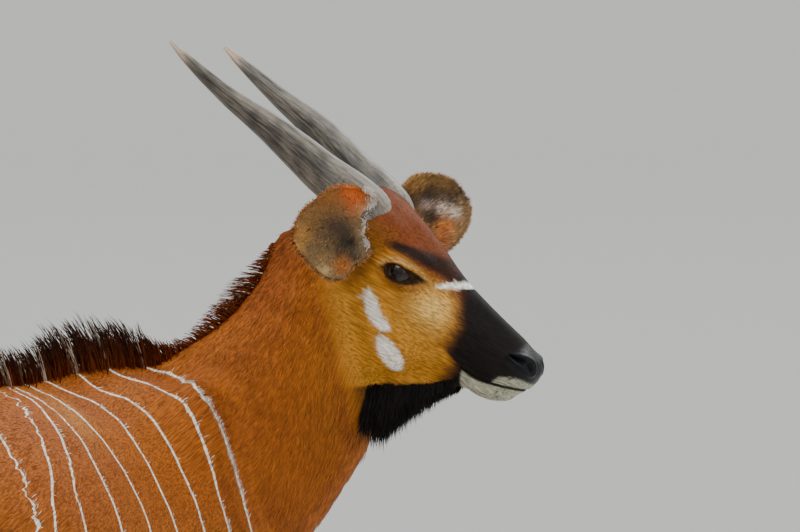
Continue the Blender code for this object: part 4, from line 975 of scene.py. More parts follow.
# name, where it grows, tufts, length, width, rise from the skin
for name, region, count, long, wide, lifted in (
    ("coat_head", is_head & (tri_head[:, 0] < 0.06), 18000, 0.0095, 0.0010, 0.11),
    ("coat_muzzle", is_head & (tri_head[:, 0] >= 0.06), 15000, 0.0055, 0.0008, 0.11),
    ("coat_neck_right", is_neck & (tri_body[:, 1] < -0.72 * tri_body[:, 0]), 18000, 0.0200, 0.0014, 0.14),
    ("coat_neck_left", is_neck & (tri_body[:, 1] >= -0.72 * tri_body[:, 0]), 15000, 0.0200, 0.0018, 0.14),
    ("coat_trunk_right", is_trunk & (tri_body[:, 1] < 0), 18000, 0.0210, 0.0018, 0.11),
    ("coat_trunk_left", is_trunk & (tri_body[:, 1] >= 0), 17000, 0.0220, 0.0022, 0.11),
    ("coat_legs", is_leg, 12000, 0.0150, 0.0016, 0.14),
):
    on_face = name in ("coat_head", "coat_muzzle")
    roots, outward = roots_on_skin(count, region * growth * thicker + BARELY)
    q = in_head(roots)
    lie = lie_at(roots, outward)
    sway = 0.22 * ripple(roots, 0.07, 17) + draw.normal(0, 0.13, count)
    lie = unit(lie + np.cross(outward, lie) * sway[:, None])
    short = np.ones(count)
    if on_face:
        short *= 1 - 0.45 * smoothstep(0.14, 0.20, q[:, 0])
        short *= 1 - 0.55 * smoothstep(0.048, 0.030, np.hypot(q[:, 0], q[:, 2])) * (np.abs(q[:, 1]) > 0.03)
    length = long * short * draw.uniform(0.75, 1.25, count)
    if "neck" in name or "trunk" in name:
        _, _, presence, away = stripe_bands(roots, outward)
        beside = smoothstep(0.016, 0.007, away) * presence
        length = length * (1 - 0.55 * beside)
        lie = unit(lie + np.array((0.1, 0.0, -0.9)) * beside[:, None])
        lie = unit(lie - outward * np.sum(lie * outward, axis=1)[:, None])
    tone = np.exp(draw.normal(0, 0.11 if on_face else 0.24, count))[:, None]
    tone = 1 + (tone - 1) * smoothstep(0.6, 0.3, coat_colour(roots, outward).min(axis=1))[:, None]
    mesh = hair(
        name, roots, outward, lie, length, np.full(count, wide) * short ** 0.5, np.full(count, wide * 0.3),
        np.full(count, lifted) * draw.uniform(0.6, 1.3, count), np.full(count, lifted * 0.55),
        coat_colour(roots + lie * (length * 0.1)[:, None], outward) * tone,
        coat_colour(roots + lie * (length * 0.85)[:, None], outward) * np.clip(tone * 1.05, 0, 1.4),
        rings=(0.0, 0.55, 1.0), soft=1.6,
    )
    shown(name, mesh, hair_look)

# Mane: stiff hair from behind the horns down the nape, and a higher crest along the back to the rump,
# rooted in the skin one tuft at a time. It is red-brown at the roots and black at the tips, with
# white strands where the stripes cross it.
MANE_TUFTS, MANE_QUICK = 4600, 1500
MANE_WIDTH, MANE_THICK = 0.0021, 0.0016
MANE_SPREAD, MANE_CAST = 0.0052, 0.10
# place from the withers, way the hair stands, and its height there
MANE = (
    ((0.2680, -0.0870, 1.3600), (-0.25, 0.85, 0.46), 0.003),
    ((0.2553, -0.0748, 1.3434), (-0.28, 0.85, 0.45), 0.004),
    ((0.2354, -0.0585, 1.3152), (-0.40, 0.81, 0.42), 0.012),
    ((0.2067, -0.0519, 1.2818), (-0.53, 0.72, 0.45), 0.029),
    ((0.1767, -0.0467, 1.2522), (-0.63, 0.60, 0.49), 0.031),
    ((0.1579, -0.0425, 1.2333), (-0.60, 0.50, 0.62), 0.031),
    ((0.1348, -0.0323, 1.2149), (-0.58, 0.43, 0.69), 0.024),
    ((0.1071, -0.0149, 1.1959), (-0.57, 0.40, 0.71), 0.014),
    ((0.0850, 0.0, 1.1791), (-0.40, 0.1, 0.90), 0.018),
    ((0.0550, 0.0, 1.1609), (-0.27, 0.0, 0.96), 0.046),
    ((0.0150, 0.0, 1.1464), (-0.25, 0.0, 0.97), 0.092),
    ((-0.1000, 0.0, 1.1525), (-0.25, 0.0, 0.97), 0.098),
    ((-0.1650, 0.0, 1.1451), (-0.25, 0.0, 0.97), 0.092),
    ((-0.2150, 0.0, 1.1413), (-0.25, 0.0, 0.97), 0.074),
    ((-0.2800, 0.0, 1.1407), (-0.25, 0.0, 0.97), 0.064),
    ((-0.3400, 0.0, 1.1414), (-0.25, 0.0, 0.97), 0.074),
    ((-0.4200, 0.0, 1.1455), (-0.25, 0.0, 0.97), 0.076),
    ((-0.5600, 0.0, 1.1511), (-0.25, 0.0, 0.97), 0.070),
    ((-0.7000, 0.0, 1.1559), (-0.25, 0.0, 0.97), 0.060),
    ((-0.8400, 0.0, 1.1550), (-0.25, 0.0, 0.97), 0.048),
    ((-0.9600, 0.0, 1.1328), (-0.25, 0.0, 0.97), 0.032),
    ((-1.0400, 0.0, 1.0952), (-0.25, 0.0, 0.97), 0.014),
)
skin_tree = surface_of(skin_mesh)
line = np.array([station[0] for station in MANE])
ways = np.array([station[1] for station in MANE])
heights = np.array([station[2] for station in MANE])
spans = np.linalg.norm(np.diff(line, axis=0), axis=1)
marks = np.concatenate(([0.0], np.cumsum(spans))) / spans.sum()
count = MANE_TUFTS
share = np.interp(draw.random(count), (0.0, 0.11, 1.0), (0.03, 0.20, 1.0))
centre = np.stack([np.interp(share, marks, line[:, axis]) for axis in range(3)], axis=1)
backward = unit(np.stack([
    np.interp(share + 0.01, marks, line[:, axis]) - np.interp(share - 0.01, marks, line[:, axis])
    for axis in range(3)
], axis=1))
upward = unit(np.stack([np.interp(share, marks, ways[:, axis]) for axis in range(3)], axis=1))
sideways = unit(np.cross(backward, upward))
offset = draw.normal(0, MANE_SPREAD, count)
start = centre + sideways * offset[:, None] + BELOW_WITHERS + upward * MANE_CAST
roots = np.empty((count, 3))
good = np.ones(count, dtype=bool)
for index in range(count):
    hit = skin_tree.ray_cast(Vector(start[index]), Vector(-upward[index]), 2 * MANE_CAST)
    good[index] = hit[0] is not None
    if hit[0] is not None:
        roots[index] = hit[0]
roots, share, backward, upward, sideways, offset, centre = (
    v[good] for v in (roots, share, backward, upward, sideways, offset, centre)
)
count = len(roots)
sunk = np.sum((centre + BELOW_WITHERS - roots) * upward, axis=1)
tall = np.interp(share, marks, heights)
clump = ripple(roots, 0.035, 29)
length = tall * (1.04 + 0.14 * clump + draw.normal(0, 0.07, count)) + np.clip(sunk, -0.01, 0.02)
length = length * (1 - 14 * np.abs(offset))
length = np.maximum(length * np.where(draw.random(count) < 0.35, 1.0, draw.uniform(0.35, 0.85, count)), 0.005)
fanned = (offset * 22 + draw.normal(0, 0.06, count))[:, None]
grow_way = unit(upward + backward * (0.10 + 0.20 * clump)[:, None] + sideways * fanned)
bend = unit(backward + sideways * draw.normal(0, 0.2, count)[:, None])
bend = unit(bend - grow_way * np.sum(bend * grow_way, axis=1)[:, None])
base_tint = coat_colour(roots, unit(upward))
stripe_here = smoothstep(0.35, 0.6, base_tint.min(axis=1))[:, None]
dark = tint_of("17110e")
red = tint_of("85421d")
white = tint_of("d8d0bf")
nape = smoothstep(0.25, 0.20, share)[:, None]
tints = red * (0.8 + 0.4 * draw.random(count))[:, None]
tints = tints * (1 - nape) + tint_of("9a5020") * nape * (0.7 + 0.5 * draw.random(count))[:, None]
pale = (draw.random(count) < 0.85)[:, None] * nape
tips = dark * (1 - pale) + tint_of("6b3114") * pale
tips = tips * (0.7 + 0.6 * draw.random(count))[:, None]
head_end = smoothstep(0.060, 0.035, share)[:, None]
tints = tints * (1 - head_end) + base_tint * head_end
tips = tips * (1 - head_end) + base_tint * 0.9 * head_end
tints = tints * (1 - stripe_here) + white * stripe_here
tips = tips * (1 - stripe_here) + white * 0.8 * stripe_here
mesh = hair(
    "mane", roots, bend, grow_way, length,
    MANE_WIDTH * np.where(share < 0.2, 0.7, 1.0) * (0.7 + 0.6 * draw.random(count)),
    np.full(count, MANE_THICK), draw.normal(0.05, 0.06, count), -0.22 - 0.1 * draw.random(count), tints, tips,
    rings=(0.0, 0.3, 0.6, 0.85, 1.0), sink=0.0, spread=draw.normal(0, 0.05, count),
)
shown("mane", mesh, hair_look)

# Throat beard: soft black hair that hangs from under the jaw and the throat, longest in the middle
# and next to nothing at the chin. Its tufts are rooted in the skin between the jaw bones.
BEARD_TUFTS, BEARD_QUICK = 3600, 900
BEARD_HALF_WIDTH = 0.030
# distance ahead of the eyes, drop of the hair there
BEARD = (
    (0.050, 0.020), (0.064, 0.048), (0.074, 0.070), (0.090, 0.066),
    (0.108, 0.050), (0.128, 0.034), (0.148, 0.018), (0.165, 0.006),
)
jaw_t = np.interp(tri_head[:, 0], *columns(JAW_LINE))
under = (tri_head[:, 0] > 0.042) & (tri_head[:, 0] < 0.160) & (np.abs(tri_head[:, 1]) < BEARD_HALF_WIDTH)
under &= (tri_head[:, 2] < jaw_t + 0.004) & (tri_head[:, 2] > jaw_t - 0.045)
count = BEARD_TUFTS
roots, outward = roots_on_skin(count, under + BARELY)
q = in_head(roots)
drop = np.interp(q[:, 0], *columns(BEARD))
length = drop * draw.uniform(0.55, 1.08, count) * (1 - 12 * np.abs(q[:, 1]) ** 1.2) + 0.006
down = unit(np.array((-0.10, 0.06, -1.0)) + draw.normal(0, 0.09, (count, 3)))
aside = unit(np.cross(down, HEAD_AXES[0] + draw.normal(0, 0.2, (count, 3))))
dark = tint_of("110f0e") * draw.uniform(0.6, 1.8, count)[:, None]
mesh = hair(
    "beard", roots, aside, down, length, draw.uniform(0.0012, 0.0024, count), np.full(count, 0.0008),
    draw.normal(0, 0.08, count), draw.normal(0, 0.10, count), dark, dark * 1.3,
    rings=(0.0, 0.35, 0.7, 1.0), sink=0.001,
)
shown("beard", mesh, hair_look)

# Tail tuft: long dark hair at the end of the tail, brown at its roots. The tufts are rooted all round
# the lower stem, close over it and hang free below.
STEM_END = (-1.182, 0.0, 0.650)
STEM_RADIUS = 0.008
TUFT_RISE = 0.11
TUFT_LOWEST = 0.524
TAIL_TUFTS, TAIL_QUICK = 2200, 500
count = TAIL_TUFTS
stem_low = np.array(STEM_END) + BELOW_WITHERS
rise = draw.random(count) ** 1.2
turn = draw.uniform(0, 2 * math.pi, count)
around = np.stack([np.cos(turn), np.sin(turn), 0 * turn], axis=1)
roots = stem_low + np.array((0.0, 0.0, 1.0)) * (rise * TUFT_RISE)[:, None] + around * STEM_RADIUS
down = unit(np.array((0.0, 0.0, -1.0)) + around * draw.uniform(0.02, 0.20, count)[:, None])
aside = unit(around - down * np.sum(around * down, axis=1)[:, None])
length = np.minimum(draw.uniform(0.075, 0.125, count), roots[:, 2] - TUFT_LOWEST)
brown = tint_of("3a2013") * draw.uniform(0.5, 1.4, count)[:, None]
dark = tint_of("100d0c") * draw.uniform(0.6, 1.6, count)[:, None]
mesh = hair(
    "tail_tuft", roots, aside, down, length, draw.uniform(0.0014, 0.0028, count), np.full(count, 0.0009),
    draw.uniform(0.10, 0.20, count), draw.uniform(0.12, 0.24, count), brown, dark,
    rings=(0.0, 0.35, 0.7, 1.0), sink=0.001,
)
shown("tail_tuft", mesh, hair_look)

# Eyes: glass eyes of the kind made for such models, dark brown with a wide oblong pupil, glued in the
# sockets under the lids. Stiff black lashes are set one by one along the edge of the upper lid.
EYE_RADIUS = 0.0200
LID_RADIUS = 0.0222
PUPIL_HALF, PUPIL_NARROW = 0.20, 1.35
LASHES = 90
# glass painted from behind: hard, dark and wet-looking, with a clear highlight
glass_look, tree, shader = look("eye glass", 0.16, Specular_IOR_Level=0.35)
tint = node(tree, "Attribute", {"attribute_name": "iris"})
tree.links.new(tint.outputs["Color"], shader.inputs["Base Color"])
for way, name in ((-1, "eye_right"), (1, "eye_left")):
    bm = bmesh.new()
    turn = Matrix([HEAD_AXES[2], HEAD_AXES[0], way * HEAD_AXES[1]]).transposed().to_4x4()
    bmesh.ops.create_uvsphere(
        bm, u_segments=96, v_segments=64, radius=EYE_RADIUS, matrix=Matrix.Translation(eye_centres[way]) @ turn,
    )
    mesh = mesh_of(bm, name + "_glass")
    local = (points_of(mesh) - np.array(eye_centres[way])) @ HEAD_AXES.T / EYE_RADIUS
    u, w = eye_plane(local[:, 0], local[:, 2])
    out = local[:, 1] * way
    ring = np.hypot(u, w)
    pupil = np.maximum(np.abs(u) - PUPIL_HALF, 0.0) ** 2 + (w * PUPIL_NARROW) ** 2
    tone = np.tile(tint_of("1c110b"), (len(local), 1))
    fibre = 0.75 + 0.35 * np.sin(np.arctan2(w, u) * 46) * np.sin(ring * 40 + 1.0)
    iris = tint_of("2c1b11") * fibre[:, None]
    tone += (iris - tone) * (smoothstep(0.80, 0.66, ring) * (out > 0))[:, None]
    tone += (tint_of("060606") - tone) * (smoothstep(0.13, 0.08, pupil) * (out > 0))[:, None]
    paint(mesh, "iris", tone)
    shown(name + "_glass", mesh, glass_look, (name,))

    # lashes on the upper lid
    u = draw.uniform(-0.017, 0.024, LASHES)
    radius = (EYE_LENGTH ** 2 + EYE_OPENING ** 2) / (4 * EYE_OPENING)
    w = np.sqrt(np.maximum(radius ** 2 - np.where(u > 0, u * 0.74, u) ** 2, 0))
    w = w - (radius - EYE_OPENING / 2) + 0.0012
    cos, sin = math.cos(EYE_SLANT), math.sin(EYE_SLANT)
    s_at, t_at = u * cos - w * sin, u * sin + w * cos
    deep = np.sqrt(np.maximum(LID_RADIUS ** 2 - s_at ** 2 - t_at ** 2, 0.0004 ** 2))
    centre = in_head(np.array(eye_centres[way])[None])[0]
    root = from_head(np.stack([s_at, deep * way, t_at], axis=1) + centre)
    outward = unit(root - np.array(eye_centres[way]))
    grow = outward * 0.9 - HEAD_AXES[2] * 0.35 + HEAD_AXES[0] * (u * 20)[:, None]
    grow = unit(grow + draw.normal(0, 0.12, (LASHES, 3)))
    above_lid = unit(HEAD_AXES[2] - grow * (grow @ HEAD_AXES[2])[:, None])
    black = np.tile(tint_of("0b0a0a"), (LASHES, 1))
    mesh = hair(
        "lashes_" + name[4:], root, above_lid, grow,
        draw.uniform(0.006, 0.010, LASHES), np.full(LASHES, 0.0006),
        np.full(LASHES, 0.0005), np.full(LASHES, -0.05), np.full(LASHES, -0.45), black, black,
        rings=(0.0, 0.5, 1.0), sink=0.0,
    )
    shown("lashes_" + name[4:], mesh, hair_look)

# Ears: thin rounded shells of tanned skin over a cartilage form, cupped towards their roots and sewn
# to the hide of the head. Short hair covers both faces, with white and pale gold fringes on the rims.
EAR_WALL = 0.0030
EAR_DEPTH = 0.038
EAR_ROWS, EAR_COLUMNS = 56, 44
RIGHT_EAR_INWARD = 0.16
EAR_WELD = 0.0003
RIM_SIDE = 0.97
EAR_TUFTS, EAR_QUICK = 8500, 1500
FRINGE_TUFTS, FRINGE_QUICK = 1500, 300
# root, way to the tip, way of the opening, length, half width, in the head's own frame
EARS = {
    "ear_right": ((-0.077, -0.063, 0.020), (-0.132, -0.962, -0.218), (0.697, -0.243, 0.655), 0.165, 0.070),
    "ear_left": ((-0.068, 0.050, 0.004), (0.0, 0.130, 0.095), (0.251, -0.475, 0.650), 0.174, 0.061),
}
# tints inside each ear, painted light and shade among them: a pale gold rim where light shines through,
# and near-black painted shade in the hollow over the dark skin there. First the ground tint, then place
# across the view and up from the withers, reach, tint and amount
EAR_TINTS_AND_SHADE = {
    "ear_right": (
        "6e5a3e",
        (0.258, 0.232, 0.038, "8a6238", 0.80),
        # pale gold rim: painted light shining through the edge
        (0.232, 0.199, 0.016, "b5803f", 0.95),
        (0.228, 0.177, 0.013, "a8763c", 0.90),
        (0.246, 0.217, 0.012, "8e6230", 0.60),
        (0.272, 0.255, 0.019, "96602c", 0.90),
        # near-black painted shade in the hollow by the root, over dark skin
        (0.278, 0.209, 0.019, "4a3d30", 0.80),
        (0.294, 0.206, 0.013, "322b26", 0.75),
        (0.303, 0.187, 0.013, "151417", 0.97),
        (0.309, 0.167, 0.009, "1c1a1e", 0.85),
        (0.290, 0.174, 0.009, "1d1a18", 0.70),
        (0.264, 0.165, 0.013, "8a6a40", 0.80),
        (0.268, 0.148, 0.010, "b99a68", 0.80),
        (0.294, 0.154, 0.013, "a55c20", 0.95),
        (0.314, 0.252, 0.020, "cf6220", 1.00),
        (0.303, 0.265, 0.013, "cf6220", 0.90),
        (0.323, 0.232, 0.012, "c88a58", 0.70),
        (0.320, 0.203, 0.009, "8a6a4c", 0.60),
        (0.335, 0.242, 0.004, "ded5c4", 0.90),
        (0.330, 0.229, 0.004, "ded5c4", 0.90),
        (0.326, 0.214, 0.004, "ded5c4", 0.90),
        (0.325, 0.200, 0.004, "d4c8b4", 0.90),
        (0.326, 0.186, 0.004, "c8b8a0", 0.90),
    ),
    "ear_left": (
        "6e5230",
        (0.399, 0.264, 0.020, "a8793e", 0.95),
        (0.435, 0.272, 0.014, "8a6638", 0.80),
        # near-black painted shade in the hollow of the cup, over dark skin
        (0.417, 0.245, 0.020, "15110f", 0.98),
        (0.388, 0.242, 0.012, "1c1613", 0.95),
        (0.446, 0.243, 0.014, "2c231c", 0.85),
        (0.413, 0.236, 0.009, "b89a90", 0.60),
        (0.436, 0.229, 0.010, "cbb4a4", 0.90),
        (0.455, 0.223, 0.009, "d2bfae", 0.85),
        (0.423, 0.216, 0.012, "17120f", 0.95),
        (0.442, 0.203, 0.014, "a55c20", 0.95),
        (0.435, 0.184, 0.014, "8a481a", 0.85),
        (0.467, 0.249, 0.012, "43362a", 0.70),
    ),
}
# front margin of the right ear, where the white fringe grows: across and up from the withers
EAR_MARGIN = (
    (0.326, 0.264), (0.333, 0.254), (0.338, 0.243), (0.332, 0.232),
    (0.326, 0.220), (0.325, 0.209), (0.326, 0.193), (0.328, 0.177),
)


def ear_colour(tints, seen, inner, where):
    """The linear colour of an ear: red-brown behind, and inside its tints with painted light and shade."""
    seen = seen + 0.0045 * np.stack([ripple(where, 0.016, 51), ripple(where, 0.016, 52)], axis=1)
    tone = np.tile(tint_of("a4501f"), (len(seen), 1))
    within = np.tile(tint_of(tints[0]), (len(seen), 1))
    for place_across, place_up, far, text, amount in tints[1:]:
        gap = np.hypot(seen[:, 0] - place_across, seen[:, 1] - place_up)
        within += (tint_of(text) - within) * (np.exp(-(gap / far) ** 2) * amount)[:, None]
    return tone + (within - tone) * inner[:, None]


for name, (root, tip_way, open_way, long, half) in EARS.items():
    axis = unit(np.array(tip_way))
    across = unit(np.cross(np.array(open_way), axis))
    opening = np.cross(axis, across)
    bm = bmesh.new()
    bmesh.ops.create_grid(bm, x_segments=EAR_ROWS, y_segments=EAR_COLUMNS, size=1.0)
    mesh = mesh_of(bm, name + "_shell")
    flat = points_of(mesh)
    reach_in = RIGHT_EAR_INWARD if name == "ear_right" else 0.0
    along = (flat[:, 0] + 1) / 2 * (1 + reach_in) - reach_in
    inward = smoothstep(0.0, -RIGHT_EAR_INWARD, along)
    raw_along = along.copy()
    along = np.maximum(along, 0.0)
    side = flat[:, 1]
    # the outline: narrow at the root, full in the middle and rounded at the tip
    width = half * (0.42 + 0.58 * np.sin(math.pi * np.minimum(along * 1.30, 1.0) / 2))
    width *= np.sqrt(np.maximum(1 - np.maximum(along - 0.42, 0) ** 2 / 0.3364, 0.0))
    width *= 1 + 0.05 * np.sin(9 * along + 2 * side)
    # the cup is rolled up at the root and opens out towards the tip
    curl = 1 - 0.62 * along
    angle = side * (0.55 + 1.15 * curl)
    reach = width / np.sin(0.55 + 1.15 * np.minimum(curl, 0.75))
    if name == "ear_right":
        reach = reach * (1 + 0.34 * smoothstep(-0.2, -0.9, side) * smoothstep(0.45, 0.0, along))
        deep = EAR_DEPTH * curl * (1 - 0.45 * smoothstep(0.4, 0.0, along))
    else:
        deep = EAR_DEPTH * curl
    local = np.stack([
        along * long * (1 + 0.06 * side ** 2 * along) - 0.02,
        reach * np.sin(angle),
        -deep + 0.55 * reach * (1 - np.cos(angle)) - 0.012 * along ** 2,
    ], axis=1)
    # soft folds run from the root towards the rim, and the rim is a little wavy
    folds = 0.0012 * np.sin(side * 11 + 3 * along) * smoothstep(0.9, 0.3, along)
    local[:, 2] += folds * smoothstep(0.05, 0.2, along)
    near_rim = smoothstep(0.5, 1.0, np.maximum(np.abs(side), along))
    local[:, 2] += 0.0016 * np.sin(side * 5 + along * 17) * near_rim
    places = from_head(local @ np.array([axis, across, opening]) + np.array(root))
    # the right ear stands with its root spread forward over the skull
    if name == "ear_right":
        flare = smoothstep(0.45, 0.0, along)
        places = places + ACROSS_VIEW * (flare * (0.024 * (1 - side ** 2) * (1 - 0.35 * side) - 0.009))[:, None]
        places = places + TO_VIEWER * (0.022 * flare * (1 - inward) - 0.035 * inward)[:, None]
    put_points(mesh, places)
    grid_places = places
    bm = bmesh.new()
    bm.from_mesh(mesh)
    bmesh.ops.remove_doubles(bm, verts=bm.verts, dist=EAR_WELD)
    bm.to_mesh(mesh)
    bm.free()
    item = placed(name, mesh)
    wall = item.modifiers.new("wall", "SOLIDIFY")
    wall.thickness = EAR_WALL
    wall.offset = 0.0
    shell = applied(item)
    shell.name = name + "_shell"
    places = points_of(shell)
    normals = normals_of(shell)
    open_world = opening @ HEAD_AXES
    inner = smoothstep(-0.1, 0.3, normals @ open_world)
    from_withers = places - BELOW_WITHERS - (0.0, 0.0, WITHERS_HEIGHT)
    seen = np.stack([from_withers @ ACROSS_VIEW, from_withers[:, 2]], axis=1)
    paint(shell, "coat", ear_colour(EAR_TINTS_AND_SHADE[name], seen, inner, places))
    shown(name + "_shell", shell, hair_look, (name,))

    # short hair over both faces and a fringe on the rim
    ear_tris = triangles_of(shell)
    ear_corner = places[ear_tris]
    ear_area = areas_of(ear_corner)
    count = EAR_TUFTS
    chosen = draw.choice(len(ear_area), size=count, p=ear_area / ear_area.sum())
    a, b = draw.random(count), draw.random(count)
    a, b = np.where(a + b > 1, 1 - a, a), np.where(a + b > 1, 1 - b, b)
    share = np.stack([1 - a - b, a, b], axis=1)[:, :, None]
    corner_normals = normals[ear_tris]
    roots = (ear_corner[chosen] * share).sum(axis=1)
    outward = unit((corner_normals[chosen] * share).sum(axis=1))
    to_tip = axis @ HEAD_AXES
    from_middle = roots - from_head(np.array(root) + axis * long * 0.35)
    lie = unit(to_tip * 0.8 + unit(from_middle) * 0.9 + draw.normal(0, 0.15, (count, 3)))
    lie = unit(lie - outward * np.sum(lie * outward, axis=1)[:, None])
    inner = smoothstep(-0.1, 0.3, outward @ open_world)
    from_withers = roots - BELOW_WITHERS - (0.0, 0.0, WITHERS_HEIGHT)
    seen_roots = np.stack([from_withers @ ACROSS_VIEW, from_withers[:, 2]], axis=1)
    tints = ear_colour(EAR_TINTS_AND_SHADE[name], seen_roots, inner, roots)
    tints = tints * np.exp(draw.normal(-0.14, 0.58, count) + 0.45 * ripple(roots, 0.010, 77))[:, None]
    mesh = hair(
        name + "_hair", roots, outward, lie, draw.uniform(0.006, 0.011, count), np.full(count, 0.0011),
        np.full(count, 0.0004), draw.uniform(0.12, 0.35, count), np.full(count, 0.14),
        tints, np.clip(tints * 1.1, 0, 0.9), rings=(0.0, 0.55, 1.0), soft=1.6,
    )
    shown(name + "_hair", mesh, hair_look)

    # longer hair: white on the front rim and pale gold on the back rim
    count = FRINGE_TUFTS
    rim_share = draw.random(count)
    if name == "ear_right":
        front = rim_share < 0.45
        rim_along = np.where(front, 0.02, draw.uniform(0.05, 1.0, count))
        rim_side = np.where(
            front, draw.uniform(-0.9, 0.9, count), np.where(draw.random(count) < 0.5, -RIM_SIDE, RIM_SIDE),
        )
    else:
        front = rim_share < 0.30
        rim_along = np.where(front, draw.uniform(0.10, 0.5, count), draw.uniform(0.05, 1.0, count))
        rim_side = np.where(
            front, draw.uniform(-0.5, 0.1, count), np.where(draw.random(count) < 0.5, -RIM_SIDE, RIM_SIDE),
        )
    nearest = np.empty(count, dtype=int)
    for index in range(count):
        nearest[index] = np.argmin((raw_along - rim_along[index]) ** 2 + 0.25 * (side - rim_side[index]) ** 2)
    roots = grid_places[nearest] + draw.normal(0, 0.0012, (count, 3))
    if name == "ear_right":
        margin = np.array(EAR_MARGIN)
        mark = draw.uniform(0, len(margin) - 1, count)
        wanted = np.stack([np.interp(mark, np.arange(len(margin)), column) for column in margin.T], axis=1)
        wanted += draw.normal(0, 0.0014, (count, 2))
        facing = places[normals @ TO_VIEWER > 0.15]
        facing_seen = seen[normals @ TO_VIEWER > 0.15]
        for index in np.flatnonzero(front):
            closest = np.argmin(((facing_seen - wanted[index]) ** 2).sum(axis=1))
            roots[index] = facing[closest] + draw.normal(0, 0.0010, 3)
    outward = np.tile(open_world, (count, 1))
    outline_way = unit(roots - from_head(np.array(root) + axis * long * 0.45))
    grow = outline_way * np.where(front, 0.2, 0.9)[:, None] + outward * np.where(front, 0.5, 0.15)[:, None]
    grow = grow + np.where(front, 1.0, 0.0)[:, None] * np.array((0.0, 0.0, 0.5))
    grow = unit(grow + draw.normal(0, 0.22, (count, 3)))
    if name == "ear_right":
        forward_way = ACROSS_VIEW * 0.35 + TO_VIEWER * 0.35 + np.array((0.0, 0.0, 0.9))
        forward_way = unit(forward_way + draw.normal(0, 0.25, (count, 3)))
        grow = np.where(front[:, None], forward_way, grow)
        outward = np.where(front[:, None], TO_VIEWER, outward)
    away_way = unit(outward - grow * np.sum(outward * grow, axis=1)[:, None])
    tints = np.where(front[:, None], tint_of("f0e9dc"), tint_of("b98a52"))
    tints = tints * draw.uniform(0.7, 1.1, count)[:, None]
    mesh = hair(
        name + "_fringe", roots, away_way, grow,
        np.where(front, draw.uniform(0.005, 0.010, count), draw.uniform(0.004, 0.007, count)),
        np.where(front, 0.0015, 0.0010), np.full(count, 0.0004),
        draw.normal(0, 0.1, count), draw.normal(0, 0.15, count), tints, tints,
        rings=(0.0, 0.4, 0.75, 1.0), soft=0.8,
    )
    shown(name + "_fringe", mesh, hair_look)

# Horns: sheaths of grown horn over bony cores that stand on the skull behind the eyes, with a keel that
# winds along them. They are smooth and finely streaked, wrinkled at the base and worn pale at the tip.
HORN_SIDES = 48
HORN_TURN = math.radians(150.0)
KEEL_SHARE = 0.10
WRINKLE_HEIGHT = 0.0005
HORN_STEPS, HORN_EASE = 600, 21
FOOT_DEPTH, FOOT_STEPS = 0.006, 30
TIP_RADIUS = 0.0016
FIBRE_ROUND, FIBRE_ALONG = 0.03, 0.055
# along the face, height over it, half spacing, radius
HORN_STATIONS = (
    (-0.056, 0.0130, 0.0300, 0.0200), (-0.078, 0.0270, 0.0375, 0.0290), (-0.100, 0.0330, 0.0432, 0.0330),
    (-0.132, 0.0310, 0.0480, 0.0325), (-0.185, 0.0260, 0.0570, 0.0285), (-0.235, 0.0260, 0.0660, 0.0245),
    (-0.281, 0.0250, 0.0740, 0.0205), (-0.320, 0.0210, 0.0800, 0.0165), (-0.358, 0.0170, 0.0845, 0.0138),
    (-0.414, 0.0150, 0.0890, 0.0100), (-0.455, 0.0150, 0.0900, 0.0070), (-0.484, 0.0160, 0.0895, 0.0026),
)
# grown horn: smooth dark fibres drawn out along it, with worn pale streaks and a low shine
horn_look, tree, shader = look("horn", 0.48, Specular_IOR_Level=0.3)
tint = node(tree, "Attribute", {"attribute_name": "growth"})
fibre = node(tree, "Attribute", {"attribute_name": "fibre"})
streaks = node(
    tree, "TexNoise", links={"Vector": fibre.outputs["Vector"]}, Scale=260.0, Detail=6.0, Roughness=0.65,
)
dapple = node(
    tree, "TexNoise", links={"Vector": fibre.outputs["Vector"]}, Scale=48.0, Detail=5.0, Roughness=0.7,
)
both = node(tree, "Math", {"operation": "MULTIPLY"}, {0: streaks.outputs["Fac"], 1: dapple.outputs["Fac"]})
strength = node(tree, "MapRange", links={"Value": both.outputs["Value"]}, i1=0.16, i2=0.36, i3=0.25, i4=1.9)
shade = node(
    tree, "MixRGB", {"blend_type": "MULTIPLY"}, {1: tint.outputs["Color"], 2: strength.outputs["Result"]},
    Fac=1.0,
)
tree.links.new(shade.outputs["Color"], shader.inputs["Base Color"])
rough = node(tree, "MapRange", links={"Value": dapple.outputs["Fac"]}, i1=0.3, i2=0.7, i3=0.36, i4=0.60)
tree.links.new(rough.outputs["Result"], shader.inputs["Roughness"])
relief = node(tree, "Bump", links={"Height": both.outputs["Value"]}, Strength=0.5, Distance=0.0012)
tree.links.new(relief.outputs["Normal"], shader.inputs["Normal"])
